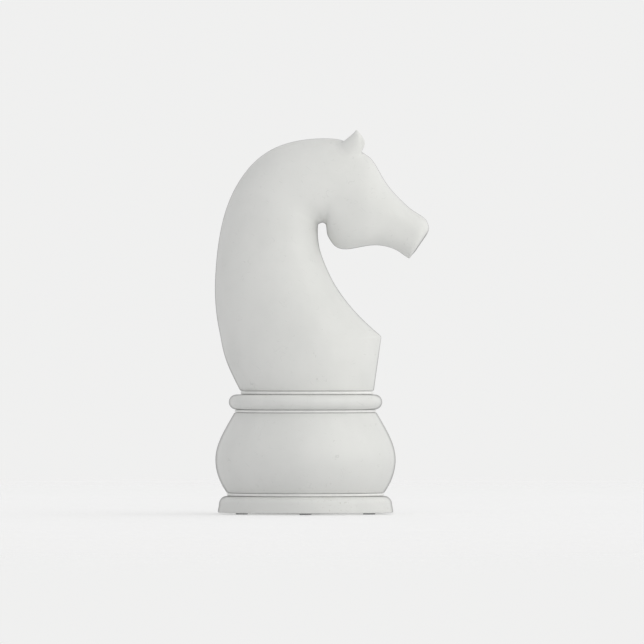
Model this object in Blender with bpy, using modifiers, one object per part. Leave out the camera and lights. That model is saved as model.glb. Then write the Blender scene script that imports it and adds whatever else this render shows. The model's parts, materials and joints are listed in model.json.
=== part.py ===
"""Giant garden chess knight: a hollow moulded piece that stacks in four sections on one tie rod.

From the ground up: a ribbed foot on six rubber pads, a bulbous ballast tank with a screw plug underneath,
a rounded collar, and the horse's head, which is two half shells screwed together over a neck plate.
A hand knob under the foot turns the tie rod, and its nut, held in the neck plate, clamps the stack.

The knight faces +X, +Z is up, and the origin is on the turning axis at ground level. Units are metres.
"""

import math
from collections import namedtuple

import bmesh
import bpy
import numpy as np
from mathutils import Matrix, Vector
from mathutils.bvhtree import BVHTree

MM = 0.001

# ---------------------------------------------------------------- driving dimensions
HEIGHT = 508 * MM
UNIT = HEIGHT / 508  # the sections and the head outline below are drawn for a height of 508 units
WALL = 3.5 * UNIT  # moulded wall of the foot, tank and collar
HEAD_WALL = 4.0 * UNIT
CLEARANCE = 0.3 * MM  # between pieces that touch
OVERSHOOT = 1.0 * MM  # how far a cutter reaches past the face that it cuts through
MERGE = 0.001 * MM  # points closer than this are one point
SEAM_GAP = 0.3 * MM  # between the two halves of the head
ROUND_STEPS = 44  # facets round a large turned section
SMALL_STEPS = 20  # facets round a small turned piece

# ---------------------------------------------------------------- the stack, from the ground up
PAD_HEIGHT = 2.0 * UNIT
FOOT_BOTTOM = PAD_HEIGHT
FOOT_TOP = 23.7 * UNIT
FOOT_RADIUS = 116.4 * UNIT
FOOT_TOP_RADIUS = 104.5 * UNIT
FOOT_SHOULDER_RADIUS = 114.6 * UNIT
FOOT_SHOULDER_Z = 12.5 * UNIT

TANK_BOTTOM = 28.2 * UNIT
TANK_TOP = 134.0 * UNIT
TANK_BOTTOM_RADIUS = 104.3 * UNIT
TANK_BELLY_RADIUS = 119.3 * UNIT
TANK_BELLY_Z = 71.5 * UNIT
TANK_TOP_RADIUS = 94.1 * UNIT
TANK_RECESS_RADIUS = 91.0 * UNIT
TANK_FLOOR = 32.2 * UNIT  # underside of the recessed floor
SAND_TOP = 63.0 * UNIT
SAND_GAP = 0.5 * MM  # between the sand and the tank's walls

COLLAR_BOTTOM = 138.2 * UNIT
COLLAR_TOP = 158.0 * UNIT
COLLAR_RADIUS = 101.5 * UNIT
COLLAR_BORE = 58.5 * UNIT

NECK_BOTTOM = 163.1 * UNIT
FLANGE_THICKNESS = 3.5 * UNIT
FLANGE_INSET = 18.0 * UNIT

# gasket rings between the sections: inner and outer radius, and how far the neck's oval one is set in
FOOT_GASKET = (93.0 * UNIT, 102.5 * UNIT)
TANK_GASKET = (82.0 * UNIT, 92.0 * UNIT)
NECK_GASKET_INSET = 2.2 * UNIT
NECK_GASKET_INNER = 0.89  # inner size as a share of the outer

# register lips that keep the sections in line: inner and outer radius, and how high or low they reach
FOOT_LIP = (85.5 * UNIT, 89.5 * UNIT)
FOOT_LIP_TOP = 31.0 * UNIT
COLLAR_LIP = (53.8 * UNIT, 57.8 * UNIT)
TANK_LIP_TOP = 146.5 * UNIT
PLATE_LIP_BOTTOM = 151.0 * UNIT

# ---------------------------------------------------------------- the clamp: tie rod, knob, washer and nut
ROD_RADIUS = 6.0 * MM  # M12, modelled plain
ROD_CHAMFER = 1.0 * MM
THREAD_GAP = 0.35 * MM  # round the rod in the nut and the knob
WASHER_GAP = 0.6 * MM  # round the rod in the washer
PLATE_GAP = 0.8 * MM  # round the rod in the neck plate
FOOT_GAP = 1.0 * MM  # round the rod in the foot
ROD_BOTTOM = 2.0 * MM  # flush with the foot's rim
ROD_TOP = 192.0 * UNIT
KNOB_BOTTOM = 2.0 * MM
KNOB_TOP = 14.9 * MM
KNOB_RADIUS = 27.0 * MM
KNOB_LOBE = 3.0 * MM
KNOB_LOBES = 7
WASHER_BOTTOM = 15.2 * MM
WASHER_TOP = 16.9 * MM
WASHER_RADIUS = 16.0 * MM
FOOT_HUB_RADIUS = 26.0 * UNIT
FOOT_HUB_BOTTOM = 17.2 * UNIT
FOOT_HUB_FLARE = 3.0 * UNIT
TUNNEL_RADIUS = 9.0 * UNIT
TUNNEL_WALL = 3.0 * UNIT
PLATE_BOTTOM = 166.9 * UNIT
PLATE_TOP = 171.9 * UNIT
PLATE_HUB_TOP = 185.0 * UNIT
PLATE_HUB_RADIUS = 17.0 * UNIT
PLATE_INSET = 6.0 * UNIT  # from the neck's outline to the plate's edge
PLATE_BOSS_RADIUS = 5.0 * UNIT  # bosses that the plate screws bite in
PLATE_BOSS_TOP = 183.9 * UNIT
PLATE_PILOT_TOP = 180.9 * UNIT
NUT_BOTTOM = 174.9 * UNIT
NUT_TOP = 184.7 * UNIT
NUT_CORNER_RADIUS = 10.8 * MM
NUT_POCKET_GAP = 0.4 * MM
NUT_CAP_HOLE_GAP = 1.2 * MM
NUT_CAP_GAP = 0.4 * MM  # between the cap and the hub that it sits on
NUT_CAP_WALL = 2.2 * MM
NUT_CAP_SKIRT = 7.0 * MM  # how far the cap reaches down the hub

# ---------------------------------------------------------------- the filler plug under the tank
PLUG_X = -56.0 * UNIT
PLUG_THREAD_RADIUS = 15.6 * UNIT
PLUG_BORE_RADIUS = 16.0 * UNIT
PLUG_FLANGE_RADIUS = 23.0 * UNIT
PLUG_BOSS_RADIUS = 22.0 * UNIT
PLUG_BOSS_TOP = 48.0 * UNIT
PLUG_TOP = 46.0 * UNIT
PLUG_CHAMFER = 1.5 * UNIT
PLUG_FLANGE = (27.2 * UNIT, 29.6 * UNIT)
PLUG_SEAL = (29.9 * UNIT, 31.9 * UNIT)
PLUG_GRIP_BOTTOM = 19.5 * UNIT
PLUG_GRIP = (6.0 * UNIT, 36.0 * UNIT)  # thickness and length of the bar a hand turns
PLUG_SEAL_GAP = 0.6 * MM  # between the seal and the plug's stem
PLUG_SEAL_INSET = 0.8 * UNIT  # from the flange's edge to the seal's
FOOT_OPENING_RADIUS = 27.0 * UNIT  # hole in the foot's web that the plug is reached through

# ---------------------------------------------------------------- fasteners and pads
PAD_COUNT = 6
PAD_RING_RADIUS = 97.0 * UNIT
PAD_RADIUS = 8.0 * UNIT
PAD_BOSS_RADIUS = 8.5 * UNIT
PAD_STEM_RADIUS = 2.5 * UNIT
PAD_STEM_TOP = 11.0 * UNIT
PAD_HOLE_RADIUS = 2.9 * UNIT
PAD_HOLE_TOP = 12.0 * UNIT
FIRST_PAD_ANGLE = 30
RIB_ANGLES = (0, 60, 120, 240, 300)  # the sixth would cross the plug
RIB_THICKNESS = 2.5 * UNIT
RIB_ENDS = (34.0 * UNIT, 112.8 * UNIT)  # inner and outer radius of a rib
RIB_BOTTOM = 7.0 * UNIT
RIB_KNEE = (106.5 * UNIT, 15.0 * UNIT)  # radius where its top edge ends, and height where its end slopes
SCREW_SHANK_RADIUS = 2.0 * MM
SCREW_HEAD_RADIUS = 4.8 * MM
SCREW_HEAD_HEIGHT = 3.2 * MM
SCREW_HEAD_BEVEL = 0.8 * MM
SCREW_POINT = 3.0 * MM  # length of its tapered tip
SCREW_TIP_DEPTH = 16.0 * MM  # how far past the seam the shank reaches
WELL_RADIUS = 6.5 * MM
WELL_FLOOR = 8.0 * MM  # thickness left between a well's floor and the seam
WELL_BOSS_RADIUS = 9.0 * MM
PILOT_BOSS_RADIUS = 6.0 * MM
SCREW_HOLE_RADIUS = 2.6 * MM  # through the wells' floors
PILOT_RADIUS = 2.4 * MM  # in the right half, and for the plate screws
PILOT_DEPTH = 18.0 * MM
BEYOND_HEAD = 120.0 * UNIT  # cutters and bosses start past the head's widest place
CAP_THICKNESS = 3.0 * MM
CAP_GAP = 0.4 * MM
CAP_BEVEL = 0.5 * MM
CAP_DEPTH = 0.6 * MM  # how far a cap's face lies below the head's surface
PLATE_SCREW_LENGTH = 14.0 * MM
PLATE_SCREW_POINT = 2.0 * MM
PLATE_SCREW_HEAD_RADIUS = 4.0 * MM
PLATE_SCREW_RIM = 0.2 * MM  # thickness of the head's edge
PLATE_SCREW_FACE = 0.1 * MM  # how far the head lies below the flange's face
PLATE_SCREW_ANGLES = (45, 135, 225, 315)
PLATE_SCREW_INSET = 13.0 * UNIT  # from the neck's outline
COUNTERSINK_DEPTH = 2.2 * MM
COUNTERSINK_RADIUS = 5.4 * MM

# places on the head's side, in drawing units: low rear, low front, mid neck, upper neck, cheek, muzzle
SCREW_PLACES = [(-40, 202), (34, 202), (-42, 308), (-28, 424), (66, 400), (126, 376)]

# ---------------------------------------------------------------- the head, as ribs between two outlines
# Each rib joins a point of the back outline (crest, forehead, nose) to one of the front outline (chest,
# throat, jaw). Half width is at the rib's widest place, which is a share of its length from the back. The
# powers make the section rounder (2) or squarer (over 2) behind and in front of that place.
Rib = namedtuple("Rib", "back front half_width widest back_power front_power")

THROAT_CENTRE = (22, 380)  # the notch between jaw and neck ends in this arc
THROAT_RADIUS = 5.6


def throat(angle):
    """A point on the round end of the throat notch, at this angle in degrees from +X."""
    turn = math.radians(angle)
    x = THROAT_CENTRE[0] + THROAT_RADIUS * math.cos(turn)
    z = THROAT_CENTRE[1] + THROAT_RADIUS * math.sin(turn)
    return (x, z)


RIBS = [
    Rib((-86.5, 163.1), (90.5, 163.1), 80, 0.50, 2.0, 2.0),  # foot of the neck
    Rib((-105, 203), (95.5, 199), 77, 0.50, 2.1, 2.1),
    Rib((-112.5, 234), (100.5, 235), 73, 0.50, 2.1, 1.9),  # point of the chest
    Rib((-116.5, 255), (73.5, 259.5), 69, 0.51, 2.1, 1.9),
    Rib((-119.5, 283), (50, 287), 65, 0.52, 2.1, 2.0),
    Rib((-119.5, 312), (34, 312.5), 61, 0.53, 2.1, 2.1),
    Rib((-117, 345), (22.5, 339), 57, 0.54, 2.1, 2.2),
    Rib((-110.5, 384), (17, 361), 54, 0.55, 2.0, 2.3),
    Rib((-97.5, 422.5), throat(180), 51, 0.56, 2.0, 2.4),  # round the throat notch
    Rib((-74.5, 458.5), throat(135), 48, 0.57, 2.0, 2.4),
    Rib((-42.5, 483.5), throat(90), 46, 0.58, 2.0, 2.4),
    Rib((-4, 495), throat(45), 44, 0.60, 2.0, 2.4),
    Rib((30, 497), throat(0), 42, 0.60, 2.0, 2.4),
    Rib((54, 492.5), (28.5, 371.5), 40.5, 0.60, 2.1, 2.5),  # the poll, between the ears
    Rib((74, 479.5), (32, 363.5), 39.5, 0.60, 2.3, 2.6),
    Rib((87, 470), (38, 355.5), 39, 0.60, 2.4, 2.6),  # forehead and cheek
    Rib((96, 456.5), (46.5, 351), 38.5, 0.60, 2.5, 2.6),
    Rib((105, 441), (57.5, 350.5), 37.5, 0.60, 2.5, 2.6),
    Rib((115.5, 427), (72, 353), 35, 0.58, 2.5, 2.5),
    Rib((127.5, 414.5), (88, 355.5), 31, 0.55, 2.5, 2.4),  # bridge of the nose
    Rib((139, 404), (104, 354.5), 27.5, 0.52, 2.5, 2.4),
    Rib((150.5, 396.5), (119.5, 349.5), 25.5, 0.50, 2.5, 2.4),  # muzzle
    Rib((159, 390), (131, 342), 25, 0.50, 2.5, 2.4),
    Rib((162.5, 383), (137.5, 338), 23, 0.50, 2.5, 2.4),  # nose tip and chin
    Rib((163.5, 377.5), (140.5, 342), 16, 0.50, 2.4, 2.4),
    Rib((161, 370), (145.5, 347.5), 0, 0.50, 2.4, 2.4),  # the flat end of the muzzle, on the seam
]
CHEST_RIB = 2
CHIN_RIB = 23
HOLLOW_RIBS = RIBS[:22]
HOLLOW_END = Rib((153, 386), (127, 356), 0, 0.50, 2.4, 2.4)  # beyond this the muzzle is solid
OUTER_STEPS = 2  # sections per rib on the outside
OUTER_POINTS = 12  # facets round half a section
INNER_POINTS = 8
CORE_SKIN = 1.2  # how far the core that trims the bosses lies inside the head's surface, in drawing units

# The ear, as ribs between its rear and front edges, from its root inside the head to its tip
EAR_RIBS = [
    Rib((40, 474), (66, 456), 8.5, 0.5, 2.0, 2.0),
    Rib((51.5, 494), (74, 479.5), 9.0, 0.5, 2.0, 2.0),
    Rib((56.5, 498), (78.5, 487.5), 8.0, 0.5, 2.0, 2.0),
    Rib((62.5, 503), (77.5, 496), 5.5, 0.5, 2.0, 2.0),
    Rib((67, 508), (69, 507.5), 0.8, 0.5, 2.0, 2.0),
]
EAR_Y = (15.5, 18.5, 20.0, 22.0, 23.5)  # how far each ear rib stands from the seam
EAR_POINTS = 10


# ---------------------------------------------------------------- scene and materials
def clear_scene():
    for obj in list(bpy.data.objects):
        bpy.data.objects.remove(obj)


def new_collection(name):
    collection = bpy.data.collections.new(name)
    bpy.context.scene.collection.children.link(collection)
    return collection


def material(name, colour, roughness, metallic=0.0):
    made = bpy.data.materials.new(name)
    made.use_nodes = True
    shader = made.node_tree.nodes["Principled BSDF"]
    shader.inputs["Base Color"].default_value = (*colour, 1.0)
    shader.inputs["Roughness"].default_value = roughness
    shader.inputs["Metallic"].default_value = metallic
    made.diffuse_color = (*colour, 1.0)
    return made


clear_scene()
KNIGHT = new_collection("giant_chess_knight")
CUTTERS = new_collection("cutters")
HDPE = material("pale_grey_hdpe", (0.64, 0.65, 0.62), 0.42)
SOFT_WHITE = material("white_gasket", (0.78, 0.79, 0.76), 0.6)
RUBBER = material("black_rubber", (0.03, 0.03, 0.03), 0.8)
KNOB_PLASTIC = material("dark_nylon", (0.06, 0.06, 0.065), 0.5)
STEEL = material("zinc_steel", (0.62, 0.63, 0.64), 0.3, 1.0)
SAND = material("dry_sand", (0.55, 0.42, 0.26), 0.95)


# ---------------------------------------------------------------- building tools
def place(name, mesh, look, parent=None, location=(0, 0, 0), rotation=(0, 0, 0)):
    """A named node of the knight, with its own material, hung on the empty of the body it moves with."""
    obj = bpy.data.objects.new(name, mesh)
    KNIGHT.objects.link(obj)
    if not mesh.materials:
        mesh.materials.append(look)
    obj.location = location
    obj.rotation_euler = rotation
    obj.parent = parent
    return obj


def body(name, parent=None):
    """An empty on the turning axis, which the pieces of one moving section hang on."""
    empty = bpy.data.objects.new(name, None)
    KNIGHT.objects.link(empty)
    empty.parent = parent
    return empty


def tool(name, mesh):
    """A helper object that a Boolean reads and a render leaves out."""
    obj = bpy.data.objects.new(name, mesh)
    CUTTERS.objects.link(obj)
    obj.hide_render = True
    obj.display_type = "WIRE"
    return obj


def boolean(obj, helper, operation):
    modifier = obj.modifiers.new(f"{operation.lower()} {helper.name}", "BOOLEAN")
    modifier.solver = "EXACT"
    modifier.operation = operation
    modifier.object = helper


def baked(obj):
    """The evaluated mesh of a helper object, which is then removed."""
    bpy.context.view_layer.update()
    evaluated = obj.evaluated_get(bpy.context.evaluated_depsgraph_get())
    mesh = bpy.data.meshes.new_from_object(evaluated)
    bpy.data.objects.remove(obj)
    return mesh


def shade(mesh, angle=35):
    mesh.shade_smooth()
    mesh.set_sharp_from_angle(angle=math.radians(angle))
    return mesh


def turned(name, loops, steps=ROUND_STEPS, closed=True):
    """A mesh turned round Z from (radius, z) profiles. A profile runs down its outer side."""
    mesh = bpy.data.meshes.new(name)
    points, edges = [], []
    for loop in loops:
        first = len(points)
        points += [(radius, 0.0, z) for radius, z in loop]
        edges += [(i, i + 1) for i in range(first, len(points) - 1)]
        if closed:
            edges.append((len(points) - 1, first))
    mesh.from_pydata(points, edges, [])
    obj = bpy.data.objects.new(name, mesh)
    CUTTERS.objects.link(obj)
    screw = obj.modifiers.new("turn", "SCREW")
    screw.steps = steps
    screw.render_steps = steps
    screw.use_merge_vertices = True
    screw.merge_threshold = 10 * MERGE
    return shade(baked(obj))


def mesh_from(work, name):
    """The mesh of a finished bmesh, which is then freed."""
    mesh = bpy.data.meshes.new(name)
    work.to_mesh(mesh)
    work.free()
    return mesh


def cylinders(places, radius, low, high, sides, top_radius=None):
    """Upright cylinders, or cones where top_radius differs, one at each (x, y), as one mesh."""
    work = bmesh.new()
    for x, y in places:
        bmesh.ops.create_cone(
            work,
            cap_ends=True,
            segments=sides,
            radius1=radius,
            radius2=radius if top_radius is None else top_radius,
            depth=high - low,
            matrix=Matrix.Translation((x, y, (low + high) / 2)),
        )
    return shade(mesh_from(work, "cylinders"))


def block(low, high):
    """A box between two corners."""
    work = bmesh.new()
    where = Matrix.Translation((low + high) / 2) @ Matrix.Diagonal((*(high - low), 1))
    bmesh.ops.create_cube(work, size=1.0, matrix=where)
    return mesh_from(work, "block")


def bezier(start, handle_a, handle_b, end, count):
    """Points of a cubic curve, without its first point."""
    t = np.linspace(0, 1, count + 1)[1:, None]
    a, b, c, d = (np.array(p) for p in (start, handle_a, handle_b, end))
    return (1 - t) ** 3 * a + 3 * t * (1 - t) ** 2 * b + 3 * t**2 * (1 - t) * c + t**3 * d


def quarter_ellipse(centre, semi_axes, start, count):
    """Points of a clockwise quarter turn from this angle in degrees, without its first point."""
    turns = [math.radians(start - 90 * (k + 1) / count) for k in range(count)]
    (x, z), (long, tall) = centre, semi_axes
    return [(x + long * math.cos(a), z + tall * math.sin(a)) for a in turns]


def inset(points, distance):
    """A profile that runs down an outer side, moved inwards by this distance along its normals."""
    line = np.array(points)
    along = np.gradient(line, axis=0)
    along /= np.linalg.norm(along, axis=1)[:, None]
    normal = np.stack([along[:, 1], -along[:, 0]], axis=1)
    return line + distance * normal


# ---------------------------------------------------------------- foot
def foot_profile():
    shoulder_centre = (FOOT_TOP_RADIUS, FOOT_SHOULDER_Z)
    shoulder_axes = (FOOT_SHOULDER_RADIUS - FOOT_TOP_RADIUS, FOOT_TOP - FOOT_SHOULDER_Z)
    inner_axes = (shoulder_axes[0], shoulder_axes[1] - WALL)
    inner_centre = (FOOT_TOP_RADIUS - WALL, FOOT_SHOULDER_Z)
    inner_shoulder = [(inner_centre[0] + inner_axes[0], inner_centre[1])]
    inner_shoulder += quarter_ellipse(inner_centre, inner_axes, 90, 2)[-2::-1]
    web_bottom = FOOT_TOP - WALL
    bore = ROD_RADIUS + FOOT_GAP
    lip_inner, lip_outer = FOOT_LIP
    return [
        (bore, FOOT_TOP),
        (lip_inner, FOOT_TOP),
        (lip_inner, FOOT_LIP_TOP),
        (lip_outer, FOOT_LIP_TOP),
        (lip_outer, FOOT_TOP),
        (FOOT_TOP_RADIUS, FOOT_TOP),
        *quarter_ellipse(shoulder_centre, shoulder_axes, 90, 4),
        (FOOT_RADIUS, FOOT_BOTTOM),
        (FOOT_RADIUS - WALL, FOOT_BOTTOM),
        *inner_shoulder,
        (inner_centre[0], web_bottom),
        (FOOT_HUB_RADIUS + FOOT_HUB_FLARE, web_bottom),
        (FOOT_HUB_RADIUS, FOOT_HUB_BOTTOM),
        (bore, FOOT_HUB_BOTTOM),
    ]


def pad_places():
    for k in range(PAD_COUNT):
        turn = math.radians(FIRST_PAD_ANGLE + 360 * k / PAD_COUNT)
        yield PAD_RING_RADIUS * math.cos(turn), PAD_RING_RADIUS * math.sin(turn)


def foot_ribs(top):
    """Radial stiffening ribs under the foot's web, each a plate whose outer end follows the shoulder."""
    half = RIB_THICKNESS / 2
    inner_end, outer_end = RIB_ENDS
    top_end, knee = RIB_KNEE
    profile = [
        (inner_end, RIB_BOTTOM),
        (outer_end, RIB_BOTTOM),
        (outer_end, knee),
        (top_end, top),
        (inner_end, top),
    ]
    work = bmesh.new()
    for angle in RIB_ANGLES:
        spin = Matrix.Rotation(math.radians(angle), 4, "Z")
        near = [work.verts.new(spin @ Vector((r, -half, z))) for r, z in profile]
        far = [work.verts.new(spin @ Vector((r, half, z))) for r, z in profile]
        work.faces.new(near)
        work.faces.new(far[::-1])
        for k in range(len(profile)):
            work.faces.new([near[k - 1], far[k - 1], far[k], near[k]])
    bmesh.ops.recalc_face_normals(work, faces=work.faces)
    return mesh_from(work, "foot_ribs")


def make_foot(parent):
    foot = place("foot_shell", turned("foot_shell", [foot_profile()]), HDPE, parent)
    inside_web = FOOT_TOP - WALL / 2
    pads = list(pad_places())
    bosses = cylinders(pads, PAD_BOSS_RADIUS, PAD_HEIGHT + CLEARANCE, inside_web, 16)
    stem_holes = cylinders(pads, PAD_HOLE_RADIUS, 0, PAD_HOLE_TOP, 10)
    opening = cylinders([(PLUG_X, 0)], FOOT_OPENING_RADIUS, FOOT_HUB_BOTTOM, FOOT_TOP + OVERSHOOT, 40)
    boolean(foot, tool("foot_ribs", foot_ribs(inside_web)), "UNION")
    boolean(foot, tool("pad_bosses", bosses), "UNION")
    boolean(foot, tool("pad_stem_holes", stem_holes), "DIFFERENCE")
    boolean(foot, tool("plug_opening", opening), "DIFFERENCE")

    pad_profile = [
        (0, PAD_STEM_TOP),
        (PAD_STEM_RADIUS, PAD_STEM_TOP),
        (PAD_STEM_RADIUS, PAD_HEIGHT),
        (PAD_RADIUS, PAD_HEIGHT),
        (PAD_RADIUS, 0),
        (0, 0),
    ]
    pad_mesh = turned("foot_pad", [pad_profile], 12, closed=False)
    for number, (x, y) in enumerate(pads, 1):
        place(f"foot_pad_{number}", pad_mesh, RUBBER, parent, (x, y, 0))
    ring = gasket_profile(FOOT_GASKET, FOOT_TOP, TANK_BOTTOM)
    place("foot_gasket", turned("foot_gasket", [ring]), SOFT_WHITE, parent)


def gasket_profile(radii, below, above):
    """A flat ring that fills the gap between two sections."""
    inner, outer = radii
    low, high = below + CLEARANCE, above - CLEARANCE
    return [(inner, high), (outer, high), (outer, low), (inner, low)]


# ---------------------------------------------------------------- tank
def tank_side(count=5):
    """The bulging side of the tank, from its top edge to its bottom edge."""
    top, belly = (TANK_TOP_RADIUS, TANK_TOP), (TANK_BELLY_RADIUS, TANK_BELLY_Z)
    bottom = (TANK_BOTTOM_RADIUS, TANK_BOTTOM)
    upper = bezier(top, (108.5 * UNIT, 109 * UNIT), (TANK_BELLY_RADIUS, 92 * UNIT), belly, count)
    lower = bezier(belly, (TANK_BELLY_RADIUS, 56 * UNIT), (113.5 * UNIT, 41 * UNIT), bottom, count - 1)
    return [top, *map(tuple, upper), *map(tuple, lower)]


def side_between(points, low, high):
    """The part of a side profile between two heights, cut square at both."""
    line = np.array(points)[::-1]
    heights = [low, *[z for z in line[:, 1] if low < z < high], high]
    radii = np.interp(heights, line[:, 1], line[:, 0])
    return list(zip(radii[::-1], heights[::-1]))


def make_tank(parent):
    tunnel_outer = TUNNEL_RADIUS + TUNNEL_WALL
    lip_inner, lip_outer = COLLAR_LIP
    outer = [
        (TUNNEL_RADIUS, TANK_TOP),
        (lip_inner, TANK_TOP),
        (lip_inner, TANK_LIP_TOP),
        (lip_outer, TANK_LIP_TOP),
        (lip_outer, TANK_TOP),
        *tank_side(),
        (TANK_RECESS_RADIUS, TANK_BOTTOM),
        (TANK_RECESS_RADIUS, TANK_FLOOR),
        (TUNNEL_RADIUS, TANK_FLOOR),
    ]
    step = TANK_RECESS_RADIUS + WALL
    hollow_side = side_between(inset(tank_side(3), WALL), TANK_BOTTOM + WALL, TANK_TOP - WALL)
    hollow = [
        (tunnel_outer, TANK_TOP - WALL),
        *hollow_side,
        (step, TANK_BOTTOM + WALL),
        (step, TANK_FLOOR + WALL),
        (tunnel_outer, TANK_FLOOR + WALL),
    ]
    tank = place("tank_shell", turned("tank_shell", [outer, hollow[::-1]]), HDPE, parent)
    where = [(PLUG_X, 0)]
    boss = cylinders(where, PLUG_BOSS_RADIUS, TANK_FLOOR + WALL / 2, PLUG_BOSS_TOP, 40)
    bore = cylinders(where, PLUG_BORE_RADIUS, TANK_FLOOR - OVERSHOOT, PLUG_BOSS_TOP + OVERSHOOT, 40)
    boolean(tank, tool("filler_boss", boss), "UNION")
    boolean(tank, tool("filler_bore", bore), "DIFFERENCE")

    rim, floor = TANK_BOTTOM + WALL + SAND_GAP, TANK_FLOOR + WALL + SAND_GAP
    sand = [
        (tunnel_outer + SAND_GAP, SAND_TOP),
        *side_between(inset(tank_side(3), WALL + SAND_GAP), rim, SAND_TOP),
        (step + SAND_GAP, rim),
        (step + SAND_GAP, floor),
        (tunnel_outer + SAND_GAP, floor),
    ]
    fill = place("sand_fill", turned("sand_fill", [sand], 36), SAND, parent)
    hole = cylinders(where, PLUG_BOSS_RADIUS + 2 * SAND_GAP, 0, PLUG_BOSS_TOP + 2 * SAND_GAP, 40)
    boolean(fill, tool("sand_hole", hole), "DIFFERENCE")
    ring = gasket_profile(TANK_GASKET, TANK_TOP, COLLAR_BOTTOM)
    place("tank_gasket", turned("tank_gasket", [ring]), SOFT_WHITE, parent)


def make_plug(plug_body, seal_body):
    """Built round its own axis, and placed at PLUG_X."""
    flange_bottom, flange_top = PLUG_FLANGE
    profile = [
        (0, PLUG_TOP),
        (PLUG_THREAD_RADIUS - PLUG_CHAMFER, PLUG_TOP),
        (PLUG_THREAD_RADIUS, PLUG_TOP - PLUG_CHAMFER),
        (PLUG_THREAD_RADIUS, flange_top),
        (PLUG_FLANGE_RADIUS, flange_top),
        (PLUG_FLANGE_RADIUS, flange_bottom),
        (0, flange_bottom),
    ]
    plug = place("filler_plug", turned("filler_plug", [profile], 32, closed=False), KNOB_PLASTIC, plug_body)
    thickness, length = PLUG_GRIP
    low = Vector((-thickness / 2, -length / 2, PLUG_GRIP_BOTTOM))
    high = Vector((thickness / 2, length / 2, (flange_bottom + flange_top) / 2))
    grip = tool("plug_grip", block(low, high))
    grip.parent = plug_body
    boolean(plug, grip, "UNION")
    inner, outer = PLUG_THREAD_RADIUS + PLUG_SEAL_GAP, PLUG_FLANGE_RADIUS - PLUG_SEAL_INSET
    bottom, top = PLUG_SEAL
    ring = [(inner, top), (outer, top), (outer, bottom), (inner, bottom)]
    place("plug_seal", turned("plug_seal", [ring], 28), RUBBER, seal_body)


# ---------------------------------------------------------------- collar
def make_collar(parent):
    half = (COLLAR_TOP - COLLAR_BOTTOM) / 2
    centre = (COLLAR_RADIUS - half, COLLAR_BOTTOM + half)
    outside = quarter_ellipse(centre, (half, half), 90, 4) + quarter_ellipse(centre, (half, half), 0, 4)
    inner = half - WALL
    inside = quarter_ellipse(centre, (inner, inner), 90, 2) + quarter_ellipse(centre, (inner, inner), 0, 2)
    channel = [
        (COLLAR_BORE, COLLAR_TOP),
        (centre[0], COLLAR_TOP),
        *outside,
        (COLLAR_BORE, COLLAR_BOTTOM),
        (COLLAR_BORE, COLLAR_BOTTOM + WALL),
        *inside[::-1],
        (centre[0], COLLAR_TOP - WALL),
        (COLLAR_BORE, COLLAR_TOP - WALL),
    ]
    place("collar_ring", turned("collar_ring", [channel]), HDPE, parent)
    place("neck_gasket", neck_ring("neck_gasket"), SOFT_WHITE, parent)


def neck_centre_x():
    return (RIBS[0].back[0] + RIBS[0].front[0]) / 2 * UNIT


def neck_semi_axes():
    """The neck's foot is an ellipse: half its length along X, and half its width along Y."""
    return ((RIBS[0].front[0] - RIBS[0].back[0]) / 2 * UNIT, RIBS[0].half_width * UNIT)


def squeezed(mesh, set_in):
    """A mesh turned at radius 1 m or less, whose unit circle becomes the neck's ellipse less set_in."""
    long, wide = neck_semi_axes()
    mesh.transform(Matrix.Diagonal(((long - set_in), (wide - set_in), 1, 1)))
    mesh.transform(Matrix.Translation((neck_centre_x(), 0, 0)))
    return mesh


def neck_ring(name):
    """The gasket under the neck, an oval ring set in from the neck's edge."""
    low, high = COLLAR_TOP + CLEARANCE, NECK_BOTTOM - CLEARANCE
    ring = [(NECK_GASKET_INNER, high), (1.0, high), (1.0, low), (NECK_GASKET_INNER, low)]
    return squeezed(turned(name, [ring]), NECK_GASKET_INSET)


# ---------------------------------------------------------------- head
def spline(values, samples, breaks=()):
    """Cubic curve through values at 0, 1, 2..., read at samples. It has a corner at each index in breaks."""
    values = np.array(values, float)
    if values.ndim == 1:
        values = values[:, None]
    result = np.empty((len(samples), values.shape[1]))
    ends = [0, *breaks, len(values) - 1]
    for first, last in zip(ends, ends[1:]):
        piece = values[first : last + 1]
        slope = np.gradient(piece, axis=0)
        mask = (samples >= first) & (samples <= last)
        t = samples[mask] - first
        k = np.minimum(t.astype(int), len(piece) - 2)
        u = (t - k)[:, None]
        result[mask] = (
            (2 * u**3 - 3 * u**2 + 1) * piece[k]
            + (u**3 - 2 * u**2 + u) * slope[k]
            + (3 * u**2 - 2 * u**3) * piece[k + 1]
            + (u**3 - u**2) * slope[k + 1]
        )
    return result


def sections(ribs, samples, points, breaks=()):
    """A grid of points: one row for each sample along the ribs, running from the back outline round to the
    front outline."""
    back = spline([r.back for r in ribs], samples)
    front = spline([r.front for r in ribs], samples, breaks)
    width = spline([r.half_width for r in ribs], samples)[:, 0]
    widest = spline([r.widest for r in ribs], samples)[:, 0]
    back_power = spline([r.back_power for r in ribs], samples)[:, 0]
    front_power = spline([r.front_power for r in ribs], samples)[:, 0]
    turn = np.linspace(0, math.pi, points + 1)[None, :]
    behind = turn <= math.pi / 2
    power = 2 / np.where(behind, back_power[:, None], front_power[:, None])
    reach = np.abs(np.cos(turn)) ** power
    middle = widest[:, None]
    share = np.where(behind, middle * (1 - reach), middle + (1 - middle) * reach)
    side = np.maximum(width, 0)[:, None] * np.abs(np.sin(turn)) ** power
    side[:, 0] = side[:, -1] = 0
    x = back[:, :1] + share * (front[:, :1] - back[:, :1])
    z = back[:, 1:] + share * (front[:, 1:] - back[:, 1:])
    return np.stack([x, side, z], axis=2)


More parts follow.
